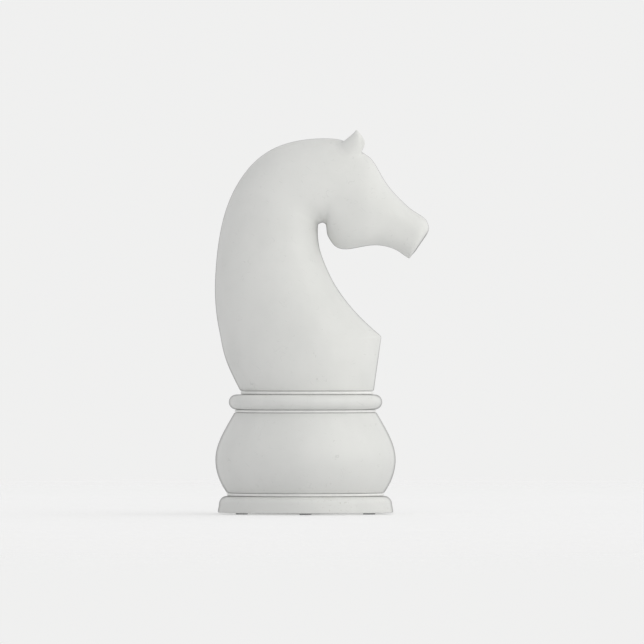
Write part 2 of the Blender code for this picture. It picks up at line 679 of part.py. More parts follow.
def inner_ribs(wall):
    """The ribs of the hollow: each is shorter at both ends and narrower by the wall."""
    made = []
    for rib in HOLLOW_RIBS:
        back, front = np.array(rib.back), np.array(rib.front)
        step = wall * (front - back) / np.linalg.norm(front - back)
        ends = {"back": tuple(back + step), "front": tuple(front - step)}
        made.append(rib._replace(half_width=rib.half_width - wall, **ends))
    return made + [HOLLOW_END]


def hollow_grid():
    """Rows of points over the hollow, in drawing units: the opening in the neck's flange, the flange's top
    face, then the inside of the neck and head."""
    wall = HEAD_WALL / UNIT
    ribs = inner_ribs(wall)
    grid = sections(ribs, np.arange(len(ribs), dtype=float), INNER_POINTS)
    outer_long, outer_wide = (axis / UNIT for axis in neck_semi_axes())
    centre, set_in = neck_centre_x() / UNIT, FLANGE_INSET / UNIT
    opening, flange_edge = grid[0].copy(), grid[0].copy()
    opening[:, 0] = centre + (opening[:, 0] - centre) * (outer_long - set_in) / (outer_long - wall)
    opening[:, 1] *= (outer_wide - set_in) / (outer_wide - wall)
    opening_top = opening.copy()
    opening_top[:, 2] = flange_edge[:, 2] = (NECK_BOTTOM + FLANGE_THICKNESS) / UNIT
    return np.concatenate([[opening, opening_top, flange_edge], grid[1:]])


def half_shell(name, side):
    """One half of the head as a closed mesh, on side +1 (left, +Y) or -1 (right, -Y) of the seam."""
    count = len(RIBS) - 1
    samples = np.linspace(0, count, count * OUTER_STEPS + 1)
    outer = sections(RIBS, samples, OUTER_POINTS, (CHEST_RIB, CHIN_RIB)) * UNIT
    inner = hollow_grid() * UNIT
    work = bmesh.new()
    shift = Vector((0, SEAM_GAP / 2, 0))

    def add_grid(grid, inward):
        rows = [[work.verts.new(Vector(p) + shift) for p in row] for row in grid]
        for low, high in zip(rows, rows[1:]):
            for k in range(len(low) - 1):
                corners = [low[k], low[k + 1], high[k + 1], high[k]]
                work.faces.new(corners if inward else corners[::-1])
        return rows

    out_rows = add_grid(outer, False)
    in_rows = add_grid(inner, True)

    def outline(rows):
        """Along the back, across the closed end on the seam, and back along the front."""
        return [row[0] for row in rows] + rows[-1][1:-1] + [row[-1] for row in rows[::-1]]

    work.faces.new(outline(in_rows) + outline(out_rows)[::-1])
    work.faces.new(out_rows[0] + in_rows[0][::-1])
    bmesh.ops.remove_doubles(work, verts=work.verts, dist=MERGE)
    bmesh.ops.triangulate(work, faces=[f for f in work.faces if len(f.verts) > 4])
    bmesh.ops.recalc_face_normals(work, faces=work.faces)
    if side < 0:
        bmesh.ops.scale(work, vec=(1, -1, 1), verts=work.verts)
        bmesh.ops.reverse_faces(work, faces=work.faces)
    return shade(mesh_from(work, name), 50)


def head_core():
    """The whole head as a solid, just inside its outer surface, which trims what is joined to the shells."""
    narrow = [rib._replace(half_width=max(rib.half_width - CORE_SKIN, 0)) for rib in RIBS]
    half = sections(narrow, np.arange(len(narrow), dtype=float), OUTER_POINTS) * UNIT
    work = bmesh.new()
    rings = []
    for row in half:
        ring = np.concatenate([row, row[1:-1][::-1] * (1, -1, 1)])
        rings.append([work.verts.new(Vector(p)) for p in ring])
    for low, high in zip(rings, rings[1:]):
        for k in range(len(low)):
            work.faces.new([low[k - 1], low[k], high[k], high[k - 1]])
    work.faces.new(rings[0])
    bmesh.ops.remove_doubles(work, verts=work.verts, dist=MERGE)
    bmesh.ops.recalc_face_normals(work, faces=work.faces)
    return mesh_from(work, "head_core")


def ear_mesh(side):
    """A closed leaf-shaped ear, whose root sinks into the head's wall."""
    samples = np.linspace(0, len(EAR_RIBS) - 1, 2 * len(EAR_RIBS) - 1)
    half = sections(EAR_RIBS, samples, EAR_POINTS // 2)
    offset = spline(EAR_Y, samples)[:, 0]
    work = bmesh.new()
    rings = []
    for row, y in zip(half, offset):
        far = row[1:-1][::-1] * (1, -1, 1)
        ring = np.concatenate([row, far]) + (0, y, 0)
        rings.append([work.verts.new(Vector(p * UNIT * (1, side, 1))) for p in ring])
    for low, high in zip(rings, rings[1:]):
        for k in range(len(low)):
            after = (k + 1) % len(low)
            work.faces.new([low[k], low[after], high[after], high[k]])
    work.faces.new(rings[0][::-1])
    work.faces.new(rings[-1])
    bmesh.ops.recalc_face_normals(work, faces=work.faces)
    return shade(mesh_from(work, "ear"), 70)


def half_width_at(tree, x, z):
    """Distance from the seam to the head's outer surface at this place on the left side."""
    hit = tree.ray_cast(Vector((x, 1.0, z)), Vector((0, -1, 0)))[0]
    return hit.y


def turned_across(mesh):
    """Lays a piece that was turned round Z along the +Y axis."""
    mesh.transform(Matrix.Rotation(math.radians(-90), 4, "X"))
    return mesh


def screw_mesh():
    """A pan-head self-tapping screw along +Y, with its head's seat at the well's floor."""
    seat = WELL_FLOOR + CLEARANCE
    top = seat + SCREW_HEAD_HEIGHT
    profile = [
        (0, top),
        (SCREW_HEAD_RADIUS - SCREW_HEAD_BEVEL, top),
        (SCREW_HEAD_RADIUS, top - SCREW_HEAD_BEVEL),
        (SCREW_HEAD_RADIUS, seat),
        (SCREW_SHANK_RADIUS, seat),
        (SCREW_SHANK_RADIUS, SCREW_POINT - SCREW_TIP_DEPTH),
        (0, -SCREW_TIP_DEPTH),
    ]
    return turned_across(turned("head_screw", [profile], 10, closed=False))


def cap_mesh():
    """A push-in cap along +Y, whose outer face is at y = 0."""
    radius, back = WELL_RADIUS - CAP_GAP, -CAP_THICKNESS
    profile = [(0, 0), (radius - CAP_BEVEL, 0), (radius, -CAP_BEVEL), (radius, back), (0, back)]
    return turned_across(turned("screw_cap", [profile], 14, closed=False))


def across(radius, low, high, sides):
    """A cylinder along Y at each screw place, from y = low to y = high."""
    mesh = cylinders([(x * UNIT, -z * UNIT) for x, z in SCREW_PLACES], radius, low, high, sides)
    return turned_across(mesh)


def make_head(parent):
    left = place("head_shell_left", half_shell("head_shell_left", 1), HDPE, parent)
    right = place("head_shell_right", half_shell("head_shell_right", -1), HDPE, parent)
    tree = BVHTree.FromObject(left, bpy.context.evaluated_depsgraph_get())
    for shell, side in ((left, 1), (right, -1)):
        boolean(shell, tool(f"{shell.name}_ear", ear_mesh(side)), "UNION")

    seam = SEAM_GAP / 2
    core = tool("head_core", head_core())
    well_bosses = tool("well_bosses", across(WELL_BOSS_RADIUS, seam, BEYOND_HEAD, 16))
    pilot_bosses = tool("pilot_bosses", across(PILOT_BOSS_RADIUS, -BEYOND_HEAD, -seam, 12))
    for shell, bosses in ((left, well_bosses), (right, pilot_bosses)):
        boolean(bosses, core, "INTERSECT")
        boolean(shell, bosses, "UNION")
    wells = across(WELL_RADIUS, WELL_FLOOR, BEYOND_HEAD, 16)
    holes = across(SCREW_HOLE_RADIUS, -OVERSHOOT, WELL_FLOOR + OVERSHOOT, 10)
    pilots = across(PILOT_RADIUS, -PILOT_DEPTH, OVERSHOOT, 10)
    boolean(left, tool("screw_wells", wells), "DIFFERENCE")
    boolean(left, tool("screw_holes", holes), "DIFFERENCE")
    boolean(right, tool("screw_pilots", pilots), "DIFFERENCE")

    screw, cap = screw_mesh(), cap_mesh()
    step = WELL_RADIUS * math.sqrt(0.5)
    for number, place_on_side in enumerate(SCREW_PLACES, 1):
        x, z = (value * UNIT for value in place_on_side)
        rim = [half_width_at(tree, x + dx, z + dz) for dx in (-step, step) for dz in (-step, step)]
        place(f"head_screw_{number}", screw, STEEL, parent, (x, 0, z))
        place(f"screw_cap_{number}", cap, HDPE, parent, (x, min(rim) - CAP_DEPTH, z))
    make_neck_plate(parent, (left, right))


def plate_screw_places():
    long, wide = neck_semi_axes()
    for angle in PLATE_SCREW_ANGLES:
        turn = math.radians(angle)
        x = neck_centre_x() + (long - PLATE_SCREW_INSET) * math.cos(turn)
        yield x, (wide - PLATE_SCREW_INSET) * math.sin(turn)


def make_neck_plate(parent, shells):
    """The oval plate that the two half shells close round, with its nut, the nut's cap and four screws."""
    profile = [(0, PLATE_TOP), (1.0, PLATE_TOP), (1.0, PLATE_BOTTOM), (0, PLATE_BOTTOM)]
    disc = turned("neck_plate", [profile], 32, closed=False)
    plate = place("neck_plate", squeezed(disc, PLATE_INSET), HDPE, parent)
    inside = (PLATE_BOTTOM + PLATE_TOP) / 2
    inner, outer = COLLAR_LIP
    lip = [(inner, inside), (outer, inside), (outer, PLATE_LIP_BOTTOM), (inner, PLATE_LIP_BOTTOM)]
    axis, screws = [(0, 0)], list(plate_screw_places())
    low, high = PLATE_BOTTOM - OVERSHOOT, PLATE_HUB_TOP + OVERSHOOT
    hub = cylinders(axis, PLATE_HUB_RADIUS, inside, PLATE_HUB_TOP, 24)
    bosses = cylinders(screws, PLATE_BOSS_RADIUS, inside, PLATE_BOSS_TOP, 12)
    bore = cylinders(axis, ROD_RADIUS + PLATE_GAP, low, high, 20)
    pilots = cylinders(screws, PILOT_RADIUS, low, PLATE_PILOT_TOP, 10)
    pocket = cylinders(axis, NUT_CORNER_RADIUS + NUT_POCKET_GAP, NUT_BOTTOM - CLEARANCE, high, 6)
    boolean(plate, tool("plate_lip", turned("plate_lip", [lip], 32)), "UNION")
    boolean(plate, tool("plate_hub", hub), "UNION")
    boolean(plate, tool("plate_bosses", bosses), "UNION")
    boolean(plate, tool("plate_bore", bore), "DIFFERENCE")
    boolean(plate, tool("plate_pilots", pilots), "DIFFERENCE")
    boolean(plate, tool("nut_pocket", pocket), "DIFFERENCE")

    nut = place("tie_nut", cylinders(axis, NUT_CORNER_RADIUS, NUT_BOTTOM, NUT_TOP, 6), STEEL, parent)
    nut_bore = cylinders(axis, ROD_RADIUS + THREAD_GAP, NUT_BOTTOM - OVERSHOOT, NUT_TOP + OVERSHOOT, 20)
    boolean(nut, tool("nut_bore", nut_bore), "DIFFERENCE")
    make_nut_cap(parent)
    make_plate_screws(parent, shells, screws)


def make_plate_screws(parent, shells, places):
    """Four countersunk screws that point up through the shells' flanges, and their holes."""
    low = NECK_BOTTOM - OVERSHOOT
    through = tool("flange_holes", cylinders(places, PILOT_RADIUS, low, PLATE_BOTTOM, 12))
    slope = (COUNTERSINK_RADIUS - PILOT_RADIUS) / COUNTERSINK_DEPTH
    mouth = COUNTERSINK_RADIUS + slope * OVERSHOOT
    cones = cylinders(places, mouth, low, NECK_BOTTOM + COUNTERSINK_DEPTH, 12, PILOT_RADIUS)
    sinks = tool("countersinks", cones)
    for shell in shells:
        boolean(shell, through, "DIFFERENCE")
        boolean(shell, sinks, "DIFFERENCE")
    profile = [
        (0, PLATE_SCREW_LENGTH),
        (SCREW_SHANK_RADIUS, PLATE_SCREW_LENGTH - PLATE_SCREW_POINT),
        (SCREW_SHANK_RADIUS, COUNTERSINK_DEPTH),
        (PLATE_SCREW_HEAD_RADIUS, PLATE_SCREW_FACE + PLATE_SCREW_RIM),
        (PLATE_SCREW_HEAD_RADIUS, PLATE_SCREW_FACE),
        (0, PLATE_SCREW_FACE),
    ]
    screw = turned("plate_screw", [profile], 10, closed=False)
    for number, (x, y) in enumerate(places, 1):
        place(f"plate_screw_{number}", screw, STEEL, parent, (x, y, NECK_BOTTOM))


def make_nut_cap(parent):
    """A push-on cup that keeps the nut in its pocket."""
    hole, inner = ROD_RADIUS + NUT_CAP_HOLE_GAP, PLATE_HUB_RADIUS + NUT_CAP_GAP
    outer, roof = inner + NUT_CAP_WALL, PLATE_HUB_TOP + NUT_CAP_GAP
    top, skirt = roof + NUT_CAP_WALL, PLATE_HUB_TOP - NUT_CAP_SKIRT
    profile = [(hole, top), (outer, top), (outer, skirt), (inner, skirt), (inner, roof), (hole, roof)]
    place("nut_cap", turned("nut_cap", [profile], 24), KNOB_PLASTIC, parent)


# ---------------------------------------------------------------- clamp
def make_tie(tie_body, washer_body):
    rod = [
        (0, ROD_TOP),
        (ROD_RADIUS - ROD_CHAMFER, ROD_TOP),
        (ROD_RADIUS, ROD_TOP - ROD_CHAMFER),
        (ROD_RADIUS, ROD_BOTTOM + ROD_CHAMFER),
        (ROD_RADIUS - ROD_CHAMFER, ROD_BOTTOM),
        (0, ROD_BOTTOM),
    ]
    place("tie_rod", turned("tie_rod", [rod], SMALL_STEPS, closed=False), STEEL, tie_body)
    place("hand_knob", knob_mesh(), KNOB_PLASTIC, tie_body)
    inner, outer = ROD_RADIUS + WASHER_GAP, WASHER_RADIUS
    ring = [(inner, WASHER_TOP), (outer, WASHER_TOP), (outer, WASHER_BOTTOM), (inner, WASHER_BOTTOM)]
    place("tie_washer", turned("tie_washer", [ring], 24), STEEL, washer_body)


def knob_mesh():
    """A flat lobed knob, extruded from its outline with the rod's hole in it."""
    outline = bpy.data.curves.new("hand_knob", "CURVE")
    outline.dimensions = "2D"
    outline.fill_mode = "BOTH"
    outline.extrude = (KNOB_TOP - KNOB_BOTTOM) / 2
    count = 8 * KNOB_LOBES
    turns = [2 * math.pi * k / count for k in range(count)]
    lobed = [(KNOB_RADIUS + KNOB_LOBE * math.cos(KNOB_LOBES * a), a) for a in turns]
    bore = [(ROD_RADIUS + THREAD_GAP, 2 * math.pi * k / SMALL_STEPS) for k in range(SMALL_STEPS)]
    for ring in (lobed, bore):
        line = outline.splines.new("POLY")
        line.points.add(len(ring) - 1)
        for point, (radius, angle) in zip(line.points, ring):
            point.co = (radius * math.cos(angle), radius * math.sin(angle), 0, 1)
        line.use_cyclic_u = True
    obj = bpy.data.objects.new("knob_outline", outline)
    CUTTERS.objects.link(obj)
    mesh = baked(obj)
    work = bmesh.new()
    work.from_mesh(mesh)
    bmesh.ops.remove_doubles(work, verts=work.verts, dist=MERGE)
    work.to_mesh(mesh)
    work.free()
    mesh.transform(Matrix.Translation((0, 0, (KNOB_BOTTOM + KNOB_TOP) / 2)))
    return shade(mesh, 40)


# ---------------------------------------------------------------- assembly
def main():
    foot = body("foot_body")
    washer = body("tie_washer_body", foot)
    tie = body("tie_body", washer)
    tank = body("tank_body", foot)
    seal = body("plug_seal_body", tank)
    seal.location = (PLUG_X, 0, 0)
    plug = body("plug_body", seal)
    collar = body("collar_body", tank)
    head = body("head_body", collar)
    make_foot(foot)
    make_tie(tie, washer)
    make_tank(tank)
    make_plug(plug, seal)
    make_collar(collar)
    make_head(head)


main()
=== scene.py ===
"""Looks for the giant garden chess knight: fine moulded surfaces, fasteners and materials on the frame."""

import json
import math
from collections import namedtuple

import bmesh
import bpy
import numpy as np
from mathutils import Matrix, Vector
from mathutils.bvhtree import BVHTree


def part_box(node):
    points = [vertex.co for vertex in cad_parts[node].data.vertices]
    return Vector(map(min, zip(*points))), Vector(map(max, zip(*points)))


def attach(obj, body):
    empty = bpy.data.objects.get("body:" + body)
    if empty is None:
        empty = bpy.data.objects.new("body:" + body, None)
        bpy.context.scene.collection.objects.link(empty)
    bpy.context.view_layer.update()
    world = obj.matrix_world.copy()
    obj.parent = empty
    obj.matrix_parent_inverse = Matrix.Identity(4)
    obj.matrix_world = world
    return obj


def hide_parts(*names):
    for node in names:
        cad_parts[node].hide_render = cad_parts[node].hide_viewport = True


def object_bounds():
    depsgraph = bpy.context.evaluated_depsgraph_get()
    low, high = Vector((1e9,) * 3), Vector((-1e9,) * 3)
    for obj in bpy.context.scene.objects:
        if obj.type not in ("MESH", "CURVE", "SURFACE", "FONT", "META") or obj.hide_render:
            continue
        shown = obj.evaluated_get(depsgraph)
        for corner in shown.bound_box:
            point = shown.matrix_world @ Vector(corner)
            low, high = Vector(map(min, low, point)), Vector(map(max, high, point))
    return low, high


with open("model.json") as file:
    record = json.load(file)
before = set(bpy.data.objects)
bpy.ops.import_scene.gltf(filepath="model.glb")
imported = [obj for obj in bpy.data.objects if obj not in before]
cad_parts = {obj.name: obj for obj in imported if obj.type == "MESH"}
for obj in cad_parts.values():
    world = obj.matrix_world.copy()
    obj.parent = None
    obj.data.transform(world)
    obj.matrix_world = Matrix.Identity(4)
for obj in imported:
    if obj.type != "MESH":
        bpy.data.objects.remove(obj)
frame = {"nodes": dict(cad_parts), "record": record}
CAD_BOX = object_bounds()

MM = 0.001
HEIGHT = CAD_BOX[1].z
UNIT = HEIGHT / 508  # outlines are drawn for a 508 mm knight
ROUND = 192  # facets round the large turned sections


# ---- sizes read from the frame
def low(node):
    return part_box(node)[0]


def high(node):
    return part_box(node)[1]


def centre_of(node):
    return (low(node) + high(node)) / 2


def radius_of(node):
    """Outer radius of a round piece, from its width along Y, which a ring of facets keeps."""
    return (high(node).y - low(node).y) / 2


def centres(node, count):
    """Centres of the repeated nodes node_1, node_2, and so on."""
    return [centre_of(f"{node}_{number}") for number in range(1, count + 1)]


GASKET_GAP = 0.3 * MM  # between a gasket and the section below it
FOOT_BOTTOM = low("foot_shell").z
FOOT_RADIUS = high("foot_shell").x
FOOT_TOP = low("foot_gasket").z - GASKET_GAP
TANK_BOTTOM = low("tank_shell").z
TANK_TOP = low("tank_gasket").z - GASKET_GAP
TANK_LIP_TOP = high("tank_shell").z
TANK_RADIUS = high("tank_shell").x
COLLAR_BOTTOM = low("collar_ring").z
COLLAR_TOP = high("collar_ring").z
COLLAR_RADIUS = high("collar_ring").x
NECK_BOTTOM = low("head_shell_left").z
PLUG_X = centre_of("filler_plug").x
AXIS = [(0, 0)]  # the turning axis and the plug's axis, as places for cylinders
PLUG_AXIS = [(PLUG_X, 0)]
PAD_PLACES = [(c.x, c.y) for c in centres("foot_pad", 6)]
PLATE_SCREW_PLACES = [(c.x, c.y) for c in centres("plate_screw", 4)]
HEAD_SCREW_PLACES = [(c.x, c.z) for c in centres("head_screw", 6)]
WALL = 3.5 * UNIT
HEAD_WALL = 4 * UNIT
LIP_IN, LIP_OUT = 53.8 * UNIT, 57.8 * UNIT  # the register lips above and below the collar


# ---- mesh tools
def around(segments):
    """Angles of evenly spaced points on a circle."""
    return np.linspace(0, 2 * math.pi, segments, endpoint=False)


def arc(centre, radii, start, end, count):
    """Points on an ellipse between two angles in degrees."""
    turns = np.radians(np.linspace(start, end, count))
    return [(centre[0] + radii[0] * math.cos(a), centre[1] + radii[1] * math.sin(a)) for a in turns]


def reshade(mesh, angle=40):
    """Smooth shading that breaks at sharp edges."""
    mesh.shade_smooth()
    mesh.set_sharp_from_angle(angle=math.radians(angle))
    return mesh


def mesh_of(work):
    """Turns a bmesh into a mesh."""
    mesh = bpy.data.meshes.new("fine")
    work.to_mesh(mesh)
    work.free()
    return mesh


def finish_mesh(work, angle=40):
    """Turns a bmesh into a shaded mesh with outward faces."""
    bmesh.ops.remove_doubles(work, verts=work.verts, dist=0.002 * MM)
    bmesh.ops.recalc_face_normals(work, faces=work.faces)
    return reshade(mesh_of(work), angle)


def skin(work, rows, wrap=True):
    """Fills in faces between neighbouring rows of vertices. Wrap also joins the end of a row to its start."""
    for first, second in zip(rows, rows[1:]):
        for k in range(len(first) if wrap else len(first) - 1):
            n = (k + 1) % len(first)
            corners = list(dict.fromkeys([first[k], first[n], second[n], second[k]]))
            if len(corners) > 2:
                work.faces.new(corners)


def fillet(corners, steps=4):
    """Rounds a closed profile. A corner is (r, z) or (r, z, radius), and a radius makes an arc of it."""
    count = len(corners)
    points = []
    for k, corner in enumerate(corners):
        here = np.array(corner[:2])
        if len(corner) < 3:
            points.append(tuple(here))
            continue
        to_last = np.array(corners[k - 1][:2]) - here
        to_next = np.array(corners[(k + 1) % count][:2]) - here
        last_length, next_length = np.linalg.norm(to_last), np.linalg.norm(to_next)
        to_last, to_next = to_last / last_length, to_next / next_length
        half = math.acos(np.clip(to_last @ to_next, -1, 1)) / 2
        back = min(corner[2] / math.tan(half), 0.49 * last_length, 0.49 * next_length)
        start, end = here + to_last * back, here + to_next * back
        for t in np.linspace(0, 1, steps + 1):
            points.append(tuple((1 - t) ** 2 * start + 2 * t * (1 - t) * here + t**2 * end))
    return points


def revolve(loop, segments=ROUND, closed=True, centre=(0, 0), squash=(1, 1), angle=40):
    """A mesh turned round Z. A ring is (radius, z), and its radius may be an array, one value per segment."""
    turn = around(segments)
    work = bmesh.new()
    rings = []
    for radius, z in loop:
        if np.max(radius) < 1e-9:
            rings.append([work.verts.new((*centre, z))] * segments)
            continue
        x = centre[0] + radius * np.cos(turn) * squash[0]
        y = centre[1] + radius * np.sin(turn) * squash[1]
        rings.append([work.verts.new((a, b, z)) for a, b in zip(x, y)])
    skin(work, rings + rings[:1] if closed else rings)
    return finish_mesh(work, angle)


def cylinders(places, radius, start, end, segments=32, top_radius=None, along_y=False):
    """Cylinders or cones as one mesh, upright at each (x, y), or along Y at each (x, z)."""
    work = bmesh.new()
    middle = (start + end) / 2
    for x, other in places:
        where = Matrix.Translation((x, other, middle))
        if along_y:
            where = Matrix.Translation((x, middle, other)) @ Matrix.Rotation(math.radians(90), 4, "X")
        sizes = {"radius1": radius, "radius2": top_radius or radius, "depth": end - start}
        bmesh.ops.create_cone(work, cap_ends=True, segments=segments, matrix=where, **sizes)
    return mesh_of(work)


def thread(turn, start, end, crest, depth, pitch, steps=8, chamfer=math.inf):
    """Rings of a right-hand thread that fades in, up or down from start, and narrows above the chamfer."""
    rings = []
    for z in np.arange(start, end, math.copysign(pitch / steps, end - start)):
        phase = (z / pitch - turn / (2 * math.pi)) % 1
        groove = np.clip(1.25 - 2.75 * np.abs(phase - 0.5), 0, 1) * depth
        radius = crest - groove * min(1.0, abs(z - start) / (1.5 * pitch))
        rings.append((np.minimum(radius, crest - max(0.0, z - chamfer)), z))
    return rings


def lay_across(mesh):
    """Turns a mesh built along Z so that it runs along +Y."""
    mesh.transform(Matrix.Rotation(math.radians(-90), 4, "X"))
    return mesh


def new_object(name, mesh):
    obj = bpy.data.objects.new(name, mesh)
    bpy.context.scene.collection.objects.link(obj)
    return obj


def combine(mesh, other, operation):
    """The Boolean of two meshes, with any face that the Boolean lost closed again."""
    base, helper = new_object("base", mesh), new_object("helper", other)
    modifier = base.modifiers.new("join", "BOOLEAN")
    modifier.operation = operation
    modifier.object = helper
    bpy.context.view_layer.update()
    result = bpy.data.meshes.new_from_object(base.evaluated_get(bpy.context.evaluated_depsgraph_get()))
    bpy.data.objects.remove(base)
    bpy.data.objects.remove(helper)
    work = bmesh.new()
    work.from_mesh(result)
    bmesh.ops.remove_doubles(work, verts=work.verts, dist=0.002 * MM)
    open_edges = [e for e in work.edges if len(e.link_faces) == 1]
    if open_edges:
        bmesh.ops.holes_fill(work, edges=open_edges, sides=0)
        bmesh.ops.recalc_face_normals(work, faces=work.faces)
    return mesh_of(work)


def posts(mesh, places, radius, start, end, segments=32, **options):
    """The mesh with a cylinder added at each place."""
    return combine(mesh, cylinders(places, radius, start, end, segments, **options), "UNION")


def holes(mesh, places, radius, start, end, segments=32, **options):
    """The mesh with a cylinder cut away at each place."""
    return combine(mesh, cylinders(places, radius, start, end, segments, **options), "DIFFERENCE")


def add_piece(node, mesh, slot, place=(0, 0, 0), spin=0.0):
    """Adds the fine piece that stands for a CAD node, on the node's own body."""
    piece = new_object(f"{node}_fine", mesh)
    piece.location = place
    piece.rotation_euler.z = spin
    mesh.materials.clear()
    mesh.materials.append(LOOKS[slot])
    bodies = frame["record"]["behaviour"]["bodies"]
    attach(piece, next(body for body, nodes in bodies.items() if node in nodes))
    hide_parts(node)


def add_pieces(node, mesh, slot, places, spin=0.0):
    """Adds node_1, node_2 and so on, which share a mesh. Each is turned further than the last one by spin."""
    for number, place in enumerate(places, 1):
        add_piece(f"{node}_{number}", mesh, slot, place, spin * number)


# ---- material nodes
class Nodes:
    """A short way to wire shader nodes. An input takes a number, a colour or another node's output."""

    def __init__(self, tree):
        self.tree = tree

    def feed(self, socket, value):
        if isinstance(value, bpy.types.NodeSocket):
            self.tree.links.new(value, socket)
        else:
            socket.default_value = (*value, 1.0) if socket.type == "RGBA" else value

    def add(self, kind, inputs=None, **settings):
        node = self.tree.nodes.new(kind)
        for name, value in settings.items():
            setattr(node, name, value)
        for name, value in (inputs or {}).items():
            self.feed(node.inputs[name], value)
        return node

    def stretched(self, stretch=None, turn=None):
        """Object coordinates, so that the grain stays on a piece as it moves, turned and then stretched."""
        vector = self.add("ShaderNodeTexCoord").outputs["Object"]
        for name, values in (("Rotation", turn), ("Scale", stretch)):
            if values:
                vector = self.add("ShaderNodeMapping", {"Vector": vector, name: values}).outputs["Vector"]
        return vector

    def noise(self, scale, detail=3.0, roughness=0.5, stretch=None, turn=None):
        vector = self.stretched(stretch, turn)
        inputs = {"Vector": vector, "Scale": scale, "Detail": detail, "Roughness": roughness}
        return self.add("ShaderNodeTexNoise", inputs).outputs["Fac"]

    def cells(self, scale):
        return self.add("ShaderNodeTexVoronoi", {"Vector": self.stretched(), "Scale": scale})

    def ramp(self, value, start, end, first=0.0, last=1.0, smooth="SMOOTHSTEP"):
        inputs = {"Value": value, "From Min": start, "From Max": end, "To Min": first, "To Max": last}
        return self.add("ShaderNodeMapRange", inputs, interpolation_type=smooth).outputs["Result"]

    def maths(self, operation, a, b=0.0):
        return self.add("ShaderNodeMath", {0: a, 1: b}, operation=operation).outputs[0]

    def times(self, a, b):
        return self.maths("MULTIPLY", a, b)

    def plus(self, a, b):
        return self.maths("ADD", a, b)

    def part(self, vector, axis):
        return self.add("ShaderNodeSeparateXYZ", {0: vector}).outputs[axis]

    def geometry(self, output):
        return self.add("ShaderNodeNewGeometry").outputs[output]

    def mix(self, factor, a, b):
        return self.add("ShaderNodeMix", {0: factor, 6: a, 7: b}, data_type="RGBA").outputs[2]

    def bump(self, height, distance, strength=1.0, under=None):
        inputs = {"Height": height, "Distance": distance, "Strength": strength}
        if under:
            inputs["Normal"] = under
        return self.add("ShaderNodeBump", inputs).outputs["Normal"]

    def surface(self, **inputs):
        """Feeds the inputs of the principled shader, whose names are given with _ for a space."""
        for name, value in inputs.items():
            self.feed(self.tree.nodes["Principled BSDF"].inputs[name.replace("_", " ")], value)

    def blend_into(self, output, factor, a, b):
        """Joins two shaders and makes the result the output of the tree."""
        mixer = self.add("ShaderNodeMixShader", {0: factor, 1: a.outputs[0], 2: b.outputs[0]})
        self.feed(self.tree.nodes[output].inputs["Surface"], mixer.outputs[0])


def material(name):
    made = bpy.data.materials.new(name)
    made.use_nodes = True
    return made, Nodes(made.node_tree)


def toned(colour, share):
    """A colour made darker or lighter."""
    return tuple(c * share for c in colour)


# ---- materials
PLASTIC_LIGHT, PLASTIC_DARK = (0.775, 0.778, 0.762), (0.742, 0.746, 0.73)
DUST, SOIL = (0.6, 0.57, 0.5), (0.36, 0.32, 0.25)
SPLASH_HEIGHT = 75 * MM  # of the soil splashes above a piece's origin
SEAL_LIGHT, SEAL_DARK = (0.93, 0.93, 0.92), (0.88, 0.885, 0.875)
RUBBER, RUBBER_DUST = (0.27, 0.27, 0.275), (0.4, 0.39, 0.37)
NYLON_DARK, NYLON_LIGHT, NYLON_WORN = (0.03, 0.031, 0.034), (0.052, 0.053, 0.056), (0.13, 0.13, 0.13)
ZINC_BLUE, ZINC_PALE, ZINC_DULL = (0.47, 0.49, 0.51), (0.66, 0.66, 0.64), (0.42, 0.4, 0.37)
SAND_DARK, SAND_LIGHT, SAND_MIDDLE = (0.33, 0.24, 0.14), (0.7, 0.58, 0.4), (0.5, 0.38, 0.23)


def scratches(n, scale, turn):
    """Thin, nearly straight lines along one direction, broken into short runs."""
    lines = n.noise(scale, 1.0, 0.3, (1.0, 1.0, 0.03), turn)
    away = n.maths("ABSOLUTE", n.maths("SUBTRACT", lines, 0.5))
    where = n.ramp(n.noise(scale * 0.9, 2.0, 0.5), 0.6, 0.66)
    return n.times(n.ramp(away, 0.0, 0.010, 1.0, 0.0), where)


def splashes(n):
    """Specks of soil in patches near the ground."""
    near_ground = n.ramp(n.part(n.stretched(), "Z"), 0.0, SPLASH_HEIGHT, 1.0, 0.0)
    specks = n.ramp(n.noise(330, 2.0, 0.6), 0.62, 0.7)
    patches = n.ramp(n.noise(24, 3.0, 0.6), 0.45, 0.65)
    return n.times(n.times(near_ground, specks), patches)


